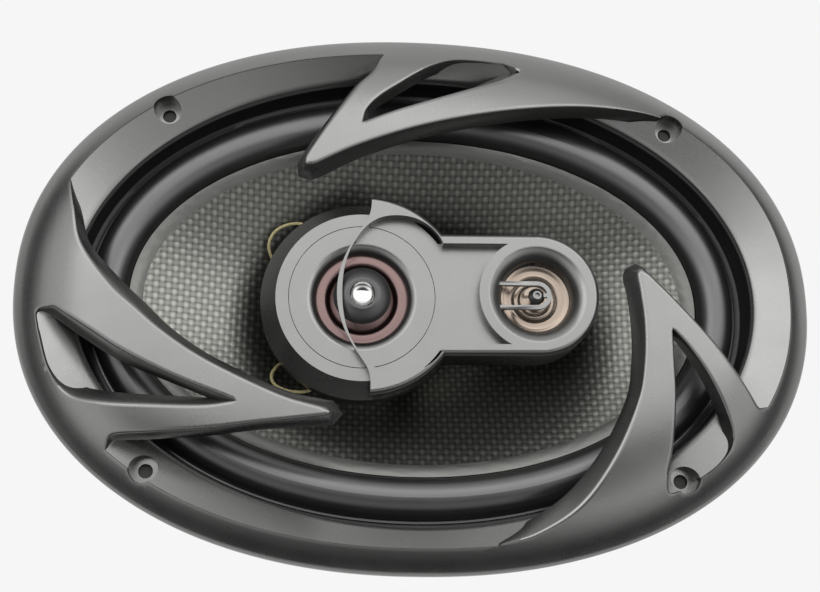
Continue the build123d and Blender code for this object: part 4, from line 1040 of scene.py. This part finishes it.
# ---- leads and solder -----------------------------------------------------------------------
# Braided copper leads with a cotton core, from the pod to the cone's front and from the terminals to
# its back, each soldered to the cone under a small bead.
braid = coated("braided_lead", "#cfc596", 0.6, 0.05, grain=0.8, grain_size=0.25, darker="#8d8458")
lead_solder = coated("solder", "#a9a9a4", 0.3, 0.08, metallic=1.0)


def braid_tree():
    """Strands wound both ways round a path, each over and under the others, on a plain core."""
    tree, given = new_tree("braid", Points="Int", Strands="Int", Pitch="Float", Radius="Float",
                           Strand="Float", Finish="Material")

    def sums(kind, first, second=None):
        node = add(tree, "ShaderNodeMath", {0: first}, operation=kind)
        if isinstance(second, float):
            node.inputs[1].default_value = second
        elif second:
            tree.links.new(second, node.inputs[1])
        return node.outputs[0]

    def vectors(kind, first, second):
        sockets = ("Vector", "Scale") if kind == "SCALE" else (0, 1)
        links = dict(zip(sockets, (first, second)))
        return add(tree, "ShaderNodeVectorMath", links, operation=kind).outputs[0]

    path = add(tree, "GeometryNodeResampleCurve", {"Curve": given["Geometry"], "Count": given["Points"]})
    along = add(tree, "GeometryNodeSplineParameter").outputs["Length"]
    normal = add(tree, "GeometryNodeInputNormal").outputs[0]
    across = vectors("CROSS_PRODUCT", add(tree, "GeometryNodeInputTangent").outputs[0], normal)
    turn = sums("MULTIPLY", sums("DIVIDE", along, given["Pitch"]), 2 * pi)
    wave = sums("COSINE", sums("MULTIPLY", turn, given["Strands"]))
    parts = []
    for way in (1.0, -1.0):
        strands = add(tree, "GeometryNodeDuplicateElements",
                      {"Geometry": path.outputs[0], "Amount": given["Strands"]}, domain="SPLINE")
        share = sums("MULTIPLY", sums("DIVIDE", strands.outputs[1], given["Strands"]), 2 * pi)
        angle = sums("ADD", share, sums("MULTIPLY", turn, way))
        lift = sums("MULTIPLY", sums("MULTIPLY", wave, given["Strand"]), 0.4 * way)
        reach = sums("ADD", given["Radius"], lift)
        shift = vectors("ADD", vectors("SCALE", normal, sums("MULTIPLY", reach, sums("COSINE", angle))),
                        vectors("SCALE", across, sums("MULTIPLY", reach, sums("SINE", angle))))
        moved = add(tree, "GeometryNodeSetPosition", {"Geometry": strands.outputs[0], "Offset": shift})
        section = add(tree, "GeometryNodeCurvePrimitiveCircle", {"Radius": given["Strand"]}, Resolution=5)
        parts.append(add(tree, "GeometryNodeCurveToMesh", {"Curve": moved.outputs[0],
                                                           "Profile Curve": section.outputs[0]},
                         Fill_Caps=True).outputs[0])
    core = add(tree, "GeometryNodeCurvePrimitiveCircle", {"Radius": given["Radius"]}, Resolution=12)
    parts.append(add(tree, "GeometryNodeCurveToMesh", {"Curve": path.outputs[0],
                                                       "Profile Curve": core.outputs[0]},
                     Fill_Caps=True).outputs[0])
    joined = add(tree, "GeometryNodeJoinGeometry")
    for part in parts:
        tree.links.new(part, joined.inputs[0])
    real = add(tree, "GeometryNodeRealizeInstances", {"Geometry": joined.outputs[0]})
    done = add(tree, "GeometryNodeSetMaterial", {"Geometry": real.outputs[0], "Material": given["Finish"]})
    add(tree, "NodeGroupOutput", {"Geometry": done.outputs[0]})
    return tree


def lead(name, tree, route):
    """Braided lead along a smooth spline with these control points; both ends are held."""
    curve = bpy.data.curves.new(name, "CURVE")
    curve.dimensions = "3D"
    curve.resolution_u = 12
    spline = curve.splines.new("NURBS")
    spline.points.add(len(route) - 1)
    for point, place in zip(spline.points, route):
        point.co = tuple(v * MM for v in place) + (1.0,)
    spline.order_u = 3
    spline.use_endpoint_u = True
    mesh = grown(linked(name + "_path", curve), tree, Points=170, Strands=4, Pitch=5.5 * MM,
                 Radius=0.33 * MM, Strand=0.15 * MM, Finish=braid)
    for face in mesh.polygons:
        face.use_smooth = True
    made = shown(name + "_piece", mesh, braid, "braided_lead", None)
    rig.blend(made, "frame", "cone_assembly", [v * MM for v in route[0]], [v * MM for v in route[-1]])
    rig.replaces(made, name)


pod_foot = -12.4
LEAD_RADIUS = 0.5
board_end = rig.box("rear_lead_positive")[0][1] / MM + LEAD_RADIUS
cone_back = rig.box("rear_lead_positive")[1][2] / MM
front_ends = [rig.box("front_lead_" + word)[0][2] / MM for word in ("upper", "lower")]
braiding = braid_tree()
lead("front_lead_upper", braiding, [
    (-31.0, 24.3, pod_foot), (-32.2, 25.6, -14.4), (-36.0, 27.6, -15.5), (-40.6, 27.3, -15.3),
    (-44.8, 24.9, -15.0), (-46.8, 21.2, -15.4), (-46.4, 17.4, -17.0), (-44.2, 14.6, -19.0),
    (-41.5, 13.0, front_ends[0])])
lead("front_lead_lower", braiding, [
    (-29.6, -25.6, pod_foot), (-31.4, -27.0, -14.4), (-35.6, -27.5, -15.3), (-40.0, -26.9, -15.5),
    (-43.6, -25.0, -15.4), (-44.4, -21.9, -16.0), (-42.6, -18.8, -17.6), (-40.4, -16.6, -19.6),
    (-38.5, -15.5, front_ends[1])])
rear_route = [(15.4, board_end, -24.0), (15.9, board_end + 5.1, -24.6), (16.6, board_end + 11.1, -28.5),
              (15.6, board_end + 17.6, -29.6), (13.6, board_end + 23.2, -26.6), (12.0, -37.6, cone_back)]
lead("rear_lead_positive", braiding, rear_route)
lead("rear_lead_negative", braiding, [(-x, y, z) for x, y, z in rear_route])
for word in ("front", "rear"):
    from_cad(word + "_solder", lead_solder, "solder", "cone_assembly", edge=0.15)

size_at_end = [list(corner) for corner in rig.bounds()]
with open("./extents.json", "w") as out:
    json.dump({"at_load": size_at_load, "at_end": size_at_end}, out)
